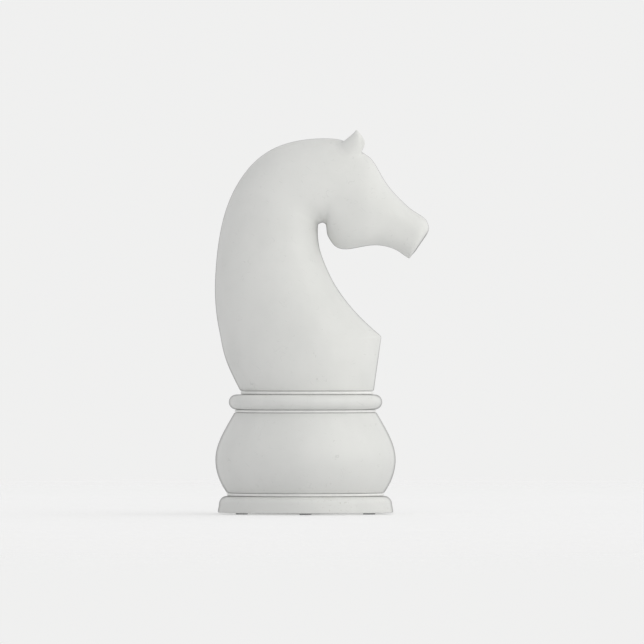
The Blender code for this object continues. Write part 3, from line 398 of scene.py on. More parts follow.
def moulded_plastic():
    """Pale satin HDPE: blotches, flow marks, dust on top, painted shade in corners and gaps, splashes,
    scuffs, painted shade on rims at grazing angles.
    """
    made, n = material("moulded_hdpe")
    colour = n.mix(n.ramp(n.noise(11, 5.0, 0.6), 0.35, 0.65), PLASTIC_DARK, PLASTIC_LIGHT)
    flow = n.ramp(n.noise(20, 3.0, 0.6, (1.0, 1.0, 0.22)), 0.45, 0.75, 0.0, 0.5)
    colour = n.mix(flow, colour, toned(PLASTIC_LIGHT, 1.03))
    upward = n.ramp(n.part(n.geometry("Normal"), "Z"), 0.55, 0.95)
    dusty = n.times(upward, n.ramp(n.noise(55, 4.0, 0.7), 0.4, 0.7))
    colour = n.mix(n.times(dusty, 0.18), colour, DUST)
    # painted shade: the colour is darkened in corners, recesses and gaps that ambient occlusion finds
    hollow = n.add("ShaderNodeAmbientOcclusion", {"Distance": 5 * MM}, samples=6).outputs["AO"]
    colour = n.mix(n.times(n.ramp(hollow, 0.1, 0.7, 1.0, 0.0), 0.45), colour, toned(PLASTIC_DARK, 0.5))
    colour = n.mix(n.times(splashes(n), 0.4), colour, SOIL)
    scuff = 0.0
    for scale, turn in ((95, (0.5, 0.9, 0.0)), (70, (-1.1, 0.3, 0.4)), (120, (1.5, -0.5, 0.2))):
        scuff = n.plus(scratches(n, scale, turn), scuff)
    scuff = n.maths("MINIMUM", scuff, 1.0)
    colour = n.mix(n.times(scuff, 0.34), colour, toned(PLASTIC_DARK, 0.7))
    # painted shade: the colour darkens towards the rims, where the surface turns away from the view
    facing = n.add("ShaderNodeLayerWeight", {"Blend": 0.5}).outputs["Facing"]
    colour = n.mix(n.ramp(facing, 0.76, 0.93, 0.0, 0.85), colour, toned(PLASTIC_DARK, 0.35))
    rough = n.ramp(n.noise(34, 4.0, 0.65), 0.3, 0.7, 0.36, 0.52)
    rough = n.plus(n.plus(rough, n.times(dusty, 0.12)), n.times(scuff, 0.14))
    peel = n.bump(n.noise(1300, 2.0, 0.5), 0.035 * MM, 0.5)
    sink = n.bump(n.noise(17, 2.0, 0.5), 0.35 * MM, 0.25, peel)
    relief = n.bump(n.times(scuff, -1.0), 0.05 * MM, 0.7, sink)
    n.surface(Base_Color=colour, Roughness=rough, Specular_IOR_Level=0.45, Normal=relief)
    return made


def soft_seal():
    """White gasket foam rubber: chalky, faintly mottled, with a fine skin."""
    made, n = material("white_gasket")
    colour = n.mix(n.ramp(n.noise(60, 3.0, 0.6), 0.35, 0.65), SEAL_DARK, SEAL_LIGHT)
    specks = n.ramp(n.noise(700, 2.0, 0.7), 0.66, 0.76)
    colour = n.mix(n.times(specks, 0.2), colour, toned(SEAL_DARK, 0.6))
    rough = n.ramp(n.noise(90, 3.0), 0.3, 0.7, 0.55, 0.75)
    n.surface(Base_Color=colour, Roughness=rough, Normal=n.bump(n.noise(1900, 3.0, 0.6), 0.04 * MM, 0.5))
    return made


def rubber():
    """Grey non-marking rubber: dusty, dull, with a slight orange peel."""
    made, n = material("grey_rubber")
    colour = n.mix(n.ramp(n.noise(130, 4.0, 0.65), 0.45, 0.75, 0.0, 0.45), RUBBER, RUBBER_DUST)
    rough = n.ramp(n.noise(70, 3.0), 0.3, 0.7, 0.5, 0.8)
    n.surface(Base_Color=colour, Roughness=rough, Normal=n.bump(n.noise(1400, 3.0, 0.6), 0.05 * MM, 0.6))
    return made


def nylon():
    """Dark moulded nylon: spark-eroded grain, with paler, smoother rubbed edges."""
    made, n = material("dark_nylon")
    base = n.mix(n.ramp(n.noise(45, 3.0, 0.6), 0.3, 0.7), NYLON_DARK, NYLON_LIGHT)
    rubbed = n.ramp(n.geometry("Pointiness"), 0.53, 0.6, 0.0, 0.6)
    rough = n.maths("SUBTRACT", n.ramp(n.noise(200, 3.0), 0.3, 0.7, 0.46, 0.62), n.times(rubbed, 0.2))
    grain = n.bump(n.noise(1700, 2.0, 0.7), 0.06 * MM, 0.7)
    n.surface(Base_Color=n.mix(rubbed, base, NYLON_WORN), Roughness=rough, Normal=grain)
    return made


def zinc_steel():
    """Zinc-plated steel: mottled grey-blue crystals, tool marks, and dull patches."""
    made, n = material("zinc_steel")
    colour = n.mix(n.ramp(n.cells(420).outputs["Distance"], 0.0, 0.9), ZINC_BLUE, ZINC_PALE)
    dull = n.ramp(n.noise(80, 4.0, 0.6), 0.5, 0.75)
    colour = n.mix(n.times(dull, 0.5), colour, ZINC_DULL)
    rough = n.plus(n.ramp(n.noise(260, 3.0), 0.3, 0.7, 0.24, 0.38), n.times(dull, 0.2))
    marks = n.bump(n.noise(900, 2.0, 0.5, (1.0, 1.0, 9.0)), 0.02 * MM, 0.5)
    n.surface(Base_Color=colour, Metallic=1.0, Roughness=rough, Normal=marks)
    return made


def dry_sand():
    """Dry sand: grains of several browns."""
    made, n = material("dry_sand")
    grains = n.cells(1300)
    tone = n.mix(n.ramp(grains.outputs["Color"], 0.1, 0.9), SAND_DARK, SAND_LIGHT)
    colour = n.mix(n.ramp(n.noise(30, 4.0), 0.3, 0.7, 0.0, 0.4), tone, SAND_MIDDLE)
    rough = n.ramp(n.noise(500, 2.0), 0.3, 0.7, 0.85, 1.0)
    n.surface(Base_Color=colour, Roughness=rough, Normal=n.bump(grains.outputs["Distance"], 0.3 * MM))
    return made


LOOKS = {
    "hdpe": moulded_plastic(),
    "gasket": soft_seal(),
    "rubber": rubber(),
    "nylon": nylon(),
    "steel": zinc_steel(),
    "sand": dry_sand(),
}


# ---- foot
PLUG_OPENING = 27 * UNIT
ROD_HOLE = 7 * MM
RIB_ANGLES = (0, 60, 120, 240, 300)  # none at 180, where the plug's opening is
RIB_THICKNESS = 2.5 * UNIT


def foot_mesh():
    """An open dish, with a register lip on top and a hub round the rod."""
    shoulder_z, shoulder_r, top_r = 12.5 * UNIT, 114.6 * UNIT, 104.5 * UNIT
    web = FOOT_TOP - WALL
    lip_in, lip_out, lip_top = 85.5 * UNIT, 89.5 * UNIT, high("foot_shell").z
    hub, hub_bottom = 26 * UNIT, 17.2 * UNIT
    corners = [
        (ROD_HOLE, FOOT_TOP, 0.6 * MM),
        (lip_in, FOOT_TOP, 0.8 * MM),
        (lip_in, lip_top, 0.6 * MM),
        (lip_out, lip_top, 1.2 * MM),
        (lip_out, FOOT_TOP, 0.8 * MM),
        *arc((top_r, shoulder_z), (shoulder_r - top_r, FOOT_TOP - shoulder_z), 86, 0, 16),
        (FOOT_RADIUS, FOOT_BOTTOM, 1.0 * MM),
        (FOOT_RADIUS - WALL, FOOT_BOTTOM, 0.8 * MM),
        *arc((top_r - WALL, shoulder_z), (shoulder_r - top_r, web - shoulder_z), 0, 90, 12),
        (hub + 3 * UNIT, web, 1.5 * MM),
        (hub, hub_bottom, 0.8 * MM),
        (ROD_HOLE, hub_bottom, 0.5 * MM),
    ]
    return revolve(fillet(corners))


def foot_ribs(top):
    """Thin upright plates under the foot, from near the hub to the rim."""
    inner, outer, bottom = 34 * UNIT, 112.8 * UNIT, 7 * UNIT
    outline = [
        (inner, 7.6 * UNIT),
        (inner + 2 * UNIT, bottom),
        (outer, bottom),
        (outer, 15 * UNIT),
        (106.5 * UNIT, top),
        (inner, top),
    ]
    work = bmesh.new()
    for angle in RIB_ANGLES:
        spin = Matrix.Rotation(math.radians(angle), 4, "Z")
        near, far = (
            [work.verts.new(spin @ Vector((r, y, z))) for r, z in outline]
            for y in (-RIB_THICKNESS / 2, RIB_THICKNESS / 2)
        )
        skin(work, [near, far])
        work.faces.new(near)
        work.faces.new(far)
    return finish_mesh(work)


def pad_mesh():
    """A push-in pad with a rounded rim, two moulded rings underneath, and a barbed stem."""
    stem_top = high("foot_pad_1").z
    radius, stem = 8 * UNIT, 2.5 * UNIT
    corners = [
        (stem - 0.8 * MM, stem_top, 0.3 * MM),
        (stem, stem_top - 2.0 * MM, 0.3 * MM),
        (stem - 0.4 * MM, stem_top - 2.6 * MM),
        (stem - 0.4 * MM, FOOT_BOTTOM),
        (radius, FOOT_BOTTOM, 0.5 * MM),
        (radius, 0, 0.7 * MM),
        (radius - 2.2 * MM, 0, 0.2 * MM),
        (radius - 2.6 * MM, 0.4 * MM, 0.2 * MM),
        (radius - 3.4 * MM, 0.4 * MM, 0.2 * MM),
        (radius - 3.8 * MM, 0, 0.2 * MM),
    ]
    return revolve([(0, stem_top), *fillet(corners), (0, 0)], 48, closed=False)


def make_foot():
    inside_web = FOOT_TOP - WALL / 2
    foot = combine(foot_mesh(), foot_ribs(inside_web), "UNION")
    foot = posts(foot, PAD_PLACES, 8.5 * UNIT, FOOT_BOTTOM + 0.3 * MM, inside_web, 40)
    foot = holes(foot, PAD_PLACES, 2.9 * UNIT, 0, 12 * UNIT, 24)
    foot = holes(foot, PLUG_AXIS, PLUG_OPENING, 17 * UNIT, FOOT_TOP + 1 * MM, 96)
    add_piece("foot_shell", reshade(foot), "hdpe")
    add_pieces("foot_pad", pad_mesh(), "rubber", [(x, y, 0) for x, y in PAD_PLACES])


# ---- gaskets
def bead(inner, outer, bottom, top):
    """Profile of a gasket that bulges outwards between two sections."""
    bulge = 1.4 * MM
    middle, half = (bottom + top) / 2, (top - bottom) / 2
    return [(inner, top), *arc((outer - bulge, middle), (bulge, half), 90, -90, 12), (inner, bottom)]


def make_gaskets():
    for node, reach in (("foot_gasket", 1.4 * MM), ("tank_gasket", 1.6 * MM)):
        inner, outer = radius_of(node) - 10 * UNIT, radius_of(node) + reach
        add_piece(node, revolve(bead(inner, outer, low(node).z, high(node).z)), "gasket")
    lo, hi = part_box("neck_gasket")
    long, wide = (hi.x - lo.x) / 2 + 1.5 * MM, (hi.y - lo.y) / 2 + 1.5 * MM
    profile = [(r / long, z) for r, z in bead(long - 10 * MM, long, lo.z, hi.z)]
    centre = (centre_of("neck_gasket").x, 0)
    add_piece("neck_gasket", revolve(profile, centre=centre, squash=(long, wide)), "gasket")


# ---- tank
def bezier(start, handle_a, handle_b, end, count):
    t = np.linspace(0, 1, count + 1)[1:, None]
    a, b, c, d = (np.array(p) for p in (start, handle_a, handle_b, end))
    return (1 - t) ** 3 * a + 3 * t * (1 - t) ** 2 * b + 3 * t**2 * (1 - t) * c + t**3 * d


def tank_side():
    """The bulging side of the tank, from its top edge to its bottom edge."""
    top, belly, bottom = (94.1 * UNIT, TANK_TOP), (TANK_RADIUS, 71.5 * UNIT), (104.3 * UNIT, TANK_BOTTOM)
    upper = bezier(top, (108.5 * UNIT, 109 * UNIT), (TANK_RADIUS, 92 * UNIT), belly, 26)
    lower = bezier(belly, (TANK_RADIUS, 56 * UNIT), (113.5 * UNIT, 41 * UNIT), bottom, 20)
    return [top, *map(tuple, upper), *map(tuple, lower)]


def inset(points, distance):
    """A side profile moved inwards along its normals."""
    line = np.array(points)
    along = np.gradient(line, axis=0)
    along /= np.linalg.norm(along, axis=1)[:, None]
    return line + distance * np.stack([along[:, 1], -along[:, 0]], axis=1)


def make_tank():
    """A hollow bulb with a tunnel for the rod, a recess underneath and a filler neck."""
    tunnel, tunnel_out = 9 * UNIT, 12 * UNIT
    recess, floor = 91 * UNIT, 32.2 * UNIT
    filler_out, filler_in, filler_top = 22 * UNIT, 16 * UNIT, 48 * UNIT
    side = tank_side()
    outer = [
        (tunnel, TANK_TOP, 0.8 * MM),
        (LIP_IN, TANK_TOP, 0.8 * MM),
        (LIP_IN, TANK_LIP_TOP, 0.6 * MM),
        (LIP_OUT, TANK_LIP_TOP, 1.2 * MM),
        (LIP_OUT, TANK_TOP, 0.8 * MM),
        (*side[0], 1.1 * MM),
        *side[1:-1],
        (*side[-1], 1.1 * MM),
        (recess, TANK_BOTTOM, 0.8 * MM),
        (recess, floor, 0.8 * MM),
        (tunnel, floor, 0.6 * MM),
    ]
    roof, bottom, ledge = TANK_TOP - WALL, TANK_BOTTOM + WALL, recess + WALL
    line = [tuple(p) for p in inset(side, WALL) if bottom < p[1] < roof]
    hollow = [
        (tunnel_out, roof),
        (line[0][0] - 1.5 * MM, roof),
        *line,
        (line[-1][0] - 0.5 * MM, bottom),
        (ledge, bottom),
        (ledge, floor + WALL),
        (tunnel_out, floor + WALL),
    ]
    tank = combine(revolve(fillet(outer)), revolve(hollow, 96), "DIFFERENCE")
    tank = posts(tank, PLUG_AXIS, filler_out, floor + WALL / 2, filler_top, 64)
    tank = holes(tank, PLUG_AXIS, filler_in, floor - 2 * MM, filler_top + 2 * MM, 64)
    add_piece("tank_shell", reshade(tank), "hdpe")


# ---- collar
def make_collar():
    """A ring of C section, open inwards."""
    half = (COLLAR_TOP - COLLAR_BOTTOM) / 2
    centre = (COLLAR_RADIUS - half, (COLLAR_TOP + COLLAR_BOTTOM) / 2)
    bore, inner, edge = 58.5 * UNIT, half - WALL, 0.8 * MM
    profile = [
        (bore, COLLAR_TOP, edge),
        *arc(centre, (half, half), 90, -90, 40),
        (bore, COLLAR_BOTTOM, edge),
        (bore, COLLAR_BOTTOM + WALL, edge),
        *arc(centre, (inner, inner), -90, 90, 20),
        (bore, COLLAR_TOP - WALL, edge),
    ]
    add_piece("collar_ring", revolve(fillet(profile)), "hdpe")


# ---- head
# Ribs of the head, each from a point of the back outline to one of the front outline, in UNITs. Half width
# is at the rib's widest place, a share of its length from the back. The powers square off the section.
Rib = namedtuple("Rib", "back front half_width widest back_power front_power")
THROAT_CENTRE = (22, 380)
THROAT_RADIUS = 5.6


def throat(angle):
    return arc(THROAT_CENTRE, (THROAT_RADIUS, THROAT_RADIUS), angle, angle, 1)[0]


RIBS = [
    Rib((-86.5, 163.1), (90.5, 163.1), 80, 0.50, 2.0, 2.0),  # foot of the neck
    Rib((-105, 203), (95.5, 199), 77, 0.50, 2.1, 2.1),
    Rib((-112.5, 234), (100.5, 235), 73, 0.50, 2.1, 1.9),  # point of the chest
    Rib((-116.5, 255), (73.5, 259.5), 69, 0.51, 2.1, 1.9),
    Rib((-119.5, 283), (50, 287), 65, 0.52, 2.1, 2.0),
    Rib((-119.5, 312), (34, 312.5), 61, 0.53, 2.1, 2.1),
    Rib((-117, 345), (22.5, 339), 57, 0.54, 2.1, 2.2),
    Rib((-110.5, 384), (17, 361), 54, 0.55, 2.0, 2.3),
    Rib((-97.5, 422.5), throat(180), 51, 0.56, 2.0, 2.4),  # round the throat notch
    Rib((-74.5, 458.5), throat(135), 48, 0.57, 2.0, 2.4),
    Rib((-42.5, 483.5), throat(90), 46, 0.58, 2.0, 2.4),
    Rib((-4, 495), throat(45), 44, 0.60, 2.0, 2.4),
    Rib((30, 497), throat(0), 42, 0.60, 2.0, 2.4),
    Rib((54, 492.5), (28.5, 371.5), 40.5, 0.60, 2.1, 2.5),  # the poll, between the ears
    Rib((74, 479.5), (32, 363.5), 39.5, 0.60, 2.3, 2.6),
    Rib((87, 470), (38, 355.5), 39, 0.60, 2.4, 2.6),  # forehead and cheek
    Rib((96, 456.5), (46.5, 351), 38.5, 0.60, 2.5, 2.6),
    Rib((105, 441), (57.5, 350.5), 37.5, 0.60, 2.5, 2.6),
    Rib((115.5, 427), (72, 353), 35, 0.58, 2.5, 2.5),
    Rib((127.5, 414.5), (88, 355.5), 31, 0.55, 2.5, 2.4),  # bridge of the nose
    Rib((139, 404), (104, 354.5), 27.5, 0.52, 2.5, 2.4),
    Rib((150.5, 396.5), (119.5, 349.5), 25.5, 0.50, 2.5, 2.4),  # muzzle
    Rib((159, 390), (131, 342), 25, 0.50, 2.5, 2.4),
    Rib((162.5, 383), (137.5, 338), 23, 0.50, 2.5, 2.4),  # nose tip and chin
    Rib((163.5, 377.5), (140.5, 342), 16, 0.50, 2.4, 2.4),
    Rib((161, 370), (145.5, 347.5), 0, 0.50, 2.4, 2.4),  # the flat end of the muzzle, on the seam
]
CHEST_RIB, CHIN_RIB = 2, 23
HOLLOW_RIBS = RIBS[:22]
HOLLOW_END = Rib((153, 386), (127, 356), 0, 0.50, 2.4, 2.4)
HEAD_STEPS = 10  # sections per rib
HEAD_POINTS = 72  # facets round half a section
SEAM_GAP = 0.3 * MM
CREASE_REACH = 2.4  # ribs from a crease to where the side of the head no longer softens it
FLANGE = 18  # UNITs that the flange at the foot of the neck reaches inwards


def natural_slopes(values):
    """Slopes of the smoothest cubic curve through values at 0, 1, 2..."""
    count = len(values)
    if count < 3:
        return np.repeat(values[1:2] - values[:1], count, axis=0)
    beside = np.ones(count - 1)
    system = np.diag(np.full(count, 4.0)) + np.diag(beside, 1) + np.diag(beside, -1)
    system[0, 0] = system[-1, -1] = 2.0
    right = np.empty_like(values)
    right[1:-1] = 3 * (values[2:] - values[:-2])
    right[0], right[-1] = 3 * (values[1] - values[0]), 3 * (values[-1] - values[-2])
    return np.linalg.solve(system, right)


def spline(values, samples, breaks=()):
    """Cubic curve through values at 0, 1, 2..., read at samples. It has a corner at each index in breaks."""
    values = np.array(values, float)
    values = values[:, None] if values.ndim == 1 else values
    result = np.empty((len(samples), values.shape[1]))
    ends = [0, *breaks, len(values) - 1]
    for first, last in zip(ends, ends[1:]):
        piece = values[first : last + 1]
        slope = natural_slopes(piece)
        mask = (samples >= first) & (samples <= last)
        t = samples[mask] - first
        k = np.minimum(t.astype(int), len(piece) - 2)
        u = (t - k)[:, None]
        result[mask] = (
            (2 * u**3 - 3 * u**2 + 1) * piece[k]
            + (u**3 - 2 * u**2 + u) * slope[k]
            + (3 * u**2 - 2 * u**3) * piece[k + 1]
            + (u**3 - u**2) * slope[k + 1]
        )
    return result


def softened(values, samples, breaks, reach):
    """A cornered curve with each corner worn round: the mean of readings within reach of each sample."""
    offsets = np.linspace(-reach, reach, 9)
    top = len(values) - 1
    return sum(spline(values, np.clip(samples + o, 0, top), breaks) for o in offsets) / len(offsets)


def sections(ribs, samples, points, breaks=()):
    """A grid of points, one row for each sample along the ribs, from the back outline to the front one."""
    back = spline([r.back for r in ribs], samples)
    fronts = [r.front for r in ribs]
    front = spline(fronts, samples, breaks)
    soft = front.copy()
    for corner, edge in zip(breaks, (0.06, 0.2)):
        away = np.abs(samples - corner)[:, None]
        near = np.clip((CREASE_REACH - away) / (CREASE_REACH - 1), 0, 1)
        near = near * near * (3 - 2 * near)
        front += near * (softened(fronts, samples, breaks, edge) - front)
        soft += near * (softened(fronts, samples, breaks, 0.8) - soft)
    names = ("half_width", "widest", "back_power", "front_power")
    width, middle, back_power, front_power = (spline([getattr(r, n) for r in ribs], samples) for n in names)
    turn = np.linspace(0, math.pi, points + 1)[None, :]
    behind = turn <= math.pi / 2
    power = 2 / np.where(behind, back_power, front_power)
    reach = np.abs(np.cos(turn)) ** power
    side = np.maximum(width, 0) * np.abs(np.sin(turn)) ** power
    side[:, 0] = side[:, -1] = 0
    share = np.where(behind, middle * (1 - reach), middle + (1 - middle) * reach)[:, :, None]
    back, front, soft = (line[:, None, :] for line in (back, front, soft))
    flat = back + share * (soft + share**6 * (front - soft) - back)
    return np.stack([flat[..., 0], side, flat[..., 1]], axis=2)


def outer_grid():
    """The outside of the half head, in metres, with its bottom edge rounded."""
    count = len(RIBS) - 1
    samples = np.linspace(0, count, count * HEAD_STEPS + 1)
    corners = [corner + np.linspace(-0.12, 0.12, 13) for corner in (CHEST_RIB, CHIN_RIB)]
    samples = np.unique(np.round(np.concatenate([samples, *corners]), 4))
    grid = sections(RIBS, samples, HEAD_POINTS, (CHEST_RIB, CHIN_RIB)) * UNIT
    edge = 1.0 * MM
    first, second = grid[0], grid[1]
    away = first - (first[0] + first[-1]) / 2
    away /= np.linalg.norm(away, axis=1)[:, None]
    rows = []
    for angle in np.radians((0, 22, 45, 68)):
        row = first - away * edge * (1 - math.sin(angle))
        row[:, 2] = NECK_BOTTOM + edge * (1 - math.cos(angle))
        rows.append(row)
    rows.append(first + (second - first) * edge / (second[:, 2:] - first[:, 2:]))
    return np.concatenate([rows, grid[1:]])


def along(rib):
    """Unit vector from a rib's back to its front."""
    return np.subtract(rib.front, rib.back) / math.dist(rib.front, rib.back)


def hollow_grid():
    """The inside of the half head, in metres, from the opening in the neck's flange to the muzzle."""
    wall = HEAD_WALL / UNIT
    ribs = [
        rib._replace(
            back=rib.back + wall * along(rib),
            front=rib.front - wall * along(rib),
            half_width=rib.half_width - wall,
        )
        for rib in HOLLOW_RIBS
    ]
    ribs.append(HOLLOW_END)
    grid = sections(ribs, np.linspace(0, len(ribs) - 1, 3 * (len(ribs) - 1) + 1), HEAD_POINTS // 3)
    neck = RIBS[0]
    long, wide = (neck.front[0] - neck.back[0]) / 2, neck.half_width
    centre = (neck.front[0] + neck.back[0]) / 2
    opening, flange_edge = grid[0].copy(), grid[0].copy()
    opening[:, 0] = centre + (opening[:, 0] - centre) * (long - FLANGE) / (long - wall)
    opening[:, 1] *= (wide - FLANGE) / (wide - wall)
    opening_top = opening.copy()
    opening_top[:, 2] = flange_edge[:, 2] = NECK_BOTTOM / UNIT + 3.5
    above = grid[1:][grid[1:, :, 2].min(axis=1) > flange_edge[0, 2] + 1]
    return np.concatenate([[opening, opening_top, flange_edge], above]) * UNIT


def half_head(side):
    """One half shell: side is 1 for the left and -1 for the right."""
    work = bmesh.new()
    shift = Vector((0, SEAM_GAP / 2, 0))
    outside, inside = (
        [[work.verts.new(Vector(p) + shift) for p in row] for row in grid]
        for grid in (outer_grid(), hollow_grid())
    )
    skin(work, outside, wrap=False)
    skin(work, inside, wrap=False)

    def outline(rows):
        return [row[0] for row in rows] + rows[-1][1:-1] + [row[-1] for row in rows[::-1]]

    work.faces.new(outline(inside) + outline(outside)[::-1])
    work.faces.new(outside[0] + inside[0][::-1])
    bmesh.ops.remove_doubles(work, verts=work.verts, dist=0.001 * MM)
    bmesh.ops.triangulate(work, faces=[f for f in work.faces if len(f.verts) > 4])
    if side < 0:
        bmesh.ops.scale(work, vec=(1, -1, 1), verts=work.verts)
    return finish_mesh(work, 50)


def seam_band(near_wall, far_wall, low_y, high_y, start):
    """A strip on the seam, all round the head, between two depths under its outer surface."""
    samples = np.arange(8 * len(HOLLOW_RIBS) + 1) / 8
    samples[0] = start
    end_along = along(HOLLOW_END)
    out = np.array((-end_along[1], end_along[0]))
    outlines = []
    for depth in (near_wall, far_wall):
        grow = HEAD_WALL / UNIT - depth
        backs = [rib.back + depth * along(rib) for rib in HOLLOW_RIBS]
        fronts = [rib.front - depth * along(rib) for rib in HOLLOW_RIBS]
        backs.append(HOLLOW_END.back + grow * (out - end_along))
        fronts.append(HOLLOW_END.front + grow * (out + end_along))
        back, front = spline(backs, samples), spline(fronts, samples, (CHEST_RIB,))
        outlines.append(np.concatenate([back, front[::-1]]) * UNIT)
    work = bmesh.new()
    rows = [
        [work.verts.new((x, y, z)) for x, z in outline]
        for outline, y in zip((*outlines, *outlines[::-1]), (low_y, low_y, high_y, high_y))
    ]
    skin(work, rows + rows[:1], wrap=False)
    for end in (0, -1):
        work.faces.new([row[end] for row in rows])
    return finish_mesh(work)


def head_core():
    """The whole head as a solid, just inside its outer surface, which trims the bosses."""
    narrow = [rib._replace(half_width=max(rib.half_width - 1.2, 0)) for rib in RIBS]
    half = sections(narrow, np.linspace(0, len(RIBS) - 1, 3 * len(RIBS) - 2), 24) * UNIT
    work = bmesh.new()
    rings = [np.concatenate([row, row[1:-1][::-1] * (1, -1, 1)]) for row in half]
    rings = [[work.verts.new(Vector(p)) for p in ring] for ring in rings]
    skin(work, rings)
    work.faces.new(rings[0])
    return finish_mesh(work)


EAR_RIBS = [
    Rib((51.5, 494), (74, 479.5), 9.0, 0.5, 2.0, 2.0),
    Rib((56.5, 498), (78.5, 487.5), 8.2, 0.5, 2.0, 2.0),
    Rib((62.5, 503), (77.5, 496), 5.6, 0.5, 2.0, 2.0),
    Rib((67, 508), (69, 507.3), 0.7, 0.5, 2.0, 2.0),
]
EAR_Y = (18.5, 20.0, 22.0, 23.5)  # distance of each ear rib from the seam
EAR_POINTS, EAR_SAMPLES = 48, 22
EAR_CUP = 4.2  # depth of the cup in front of an ear
EAR_FLARE = ((1.62, -0.8), (1.5, 0.0), (1.3, 0.7), (1.14, 2.2), (1.04, 4.4))  # spread and lift at the root
FIRST_FREE_RING = 3  # the rings of an ear below this one are replaced by the flare


def ear_rings():
    """Rings of a leaf-shaped ear, cupped in front, from its root to its tip."""
    samples = np.linspace(0, len(EAR_RIBS) - 1, EAR_SAMPLES)
    back, front = (spline([getattr(r, n) for r in EAR_RIBS], samples) for n in ("back", "front"))
    width, offset = (spline(values, samples)[:, 0] for values in ([r.half_width for r in EAR_RIBS], EAR_Y))
    turn = around(EAR_POINTS)
    cup = np.clip(np.cos(turn - math.radians(38)), 0, 1) ** 6
    for k, share in enumerate(samples / samples[-1]):
        middle, half = (back[k] + front[k]) / 2, (front[k] - back[k]) / 2
        depth = EAR_CUP * cup * math.sin(math.pi * min(1.0, 0.15 + 0.85 * share)) ** 1.3
        x = middle[0] + half[0] * np.cos(turn) - depth * 0.75
        y = offset[k] + width[k] * np.sin(turn) - depth * 0.55
        z = middle[1] + half[1] * np.cos(turn)
        yield np.stack([x, y, z], axis=1)


def ear_mesh(tree, side):
    """An ear whose root flares into the head's surface, which the tree holds for the left side."""
    rings = list(ear_rings())
    root = rings[0]
    centre = root.mean(axis=0)
    down = centre - rings[4].mean(axis=0)
    down /= np.linalg.norm(down)
    flare = []
    for spread, lift in EAR_FLARE:
        landed = []
        for point in centre + (root - centre) * spread:
            start = Vector(point - down * 40) * UNIT
            hit = tree.ray_cast(start, Vector(down))[0]
            landed.append(np.array(hit if hit else start) / UNIT)
        flare.append(np.array(landed) - down * lift)
    loops = [flare[0] + down * 3.0, *flare, *rings[FIRST_FREE_RING:]]
    work = bmesh.new()
    loops = [[work.verts.new(Vector(p * UNIT * (1, side, 1))) for p in ring] for ring in loops]
    skin(work, loops)
    work.faces.new(loops[0])
    work.faces.new(loops[-1])
    return finish_mesh(work, 60)


def cap_mesh():
    """A slightly domed push-in cap along +Y, with its face at y = 0."""
    radius = (high("screw_cap_1").x - low("screw_cap_1").x) / 2
    inner_face = -3.0 * MM
    corners = [
        (radius * 0.55, -0.05 * MM),
        (radius - 0.7 * MM, -0.3 * MM, 0.3 * MM),
        (radius, -0.6 * MM, 0.3 * MM),
        (radius, inner_face, 0.3 * MM),
    ]
    profile = [(0, 0), *fillet(corners)[:-1], (radius - 0.5 * MM, inner_face), (0, inner_face)]
    return lay_across(revolve(profile, 48, closed=False))


BEYOND_HEAD = 120 * MM  # a distance from the seam that is outside the head
WELL, CLEARANCE, PILOT = 6.5 * MM, 2.6 * MM, 2.4 * MM  # radii of the screws' holes


def countersunk(shell):
    """A half head with the countersunk holes of the plate screws in its flange."""
    head, shank = 5.4 * MM, 2.4 * MM
    bottom, top = NECK_BOTTOM - 0.5 * MM, NECK_BOTTOM + 2.2 * MM
    shell = holes(shell, PLATE_SCREW_PLACES, head, bottom, top, 40, top_radius=shank)
    return holes(shell, PLATE_SCREW_PLACES, shank, bottom, bottom + 6 * MM, 24)


def screw_bosses(side, radius):
    """Bosses from the seam out to the head's surface, for the head screws."""
    near, far = sorted((side * SEAM_GAP / 2, side * BEYOND_HEAD))
    rods = cylinders(HEAD_SCREW_PLACES, radius, near, far, 48, along_y=True)
    return combine(rods, head_core(), "INTERSECT")


def make_head():
    left = half_head(1)
    tree = BVHTree.FromPolygons([v.co for v in left.vertices], [p.vertices for p in left.polygons])
    left = countersunk(combine(left, ear_mesh(tree, 1), "UNION"))
    right = countersunk(combine(half_head(-1), ear_mesh(tree, -1), "UNION"))
    left = combine(left, screw_bosses(1, 9 * MM), "UNION")
    right = combine(right, screw_bosses(-1, 6 * MM), "UNION")
    left = combine(left, seam_band(2.0, 3.9, -1.2 * MM, 1.0 * MM, 0.06), "UNION")
    right = combine(right, seam_band(1.8, 4.1, -1.4 * MM, 1.0 * MM, 0.04), "DIFFERENCE")
    left = holes(left, HEAD_SCREW_PLACES, WELL, 8 * MM, BEYOND_HEAD, 64, along_y=True)
    left = holes(left, HEAD_SCREW_PLACES, CLEARANCE, -1 * MM, 9 * MM, 24, along_y=True)
    right = holes(right, HEAD_SCREW_PLACES, PILOT, -18 * MM, 1 * MM, 24, along_y=True)
    add_piece("head_shell_left", reshade(left, 38), "hdpe")
    add_piece("head_shell_right", reshade(right, 38), "hdpe")
    outward = high("screw_cap_1").y - centre_of("screw_cap_1").y
    places = [centre + Vector((0, outward, 0)) for centre in centres("screw_cap", 6)]
    add_pieces("screw_cap", cap_mesh(), "hdpe", places)


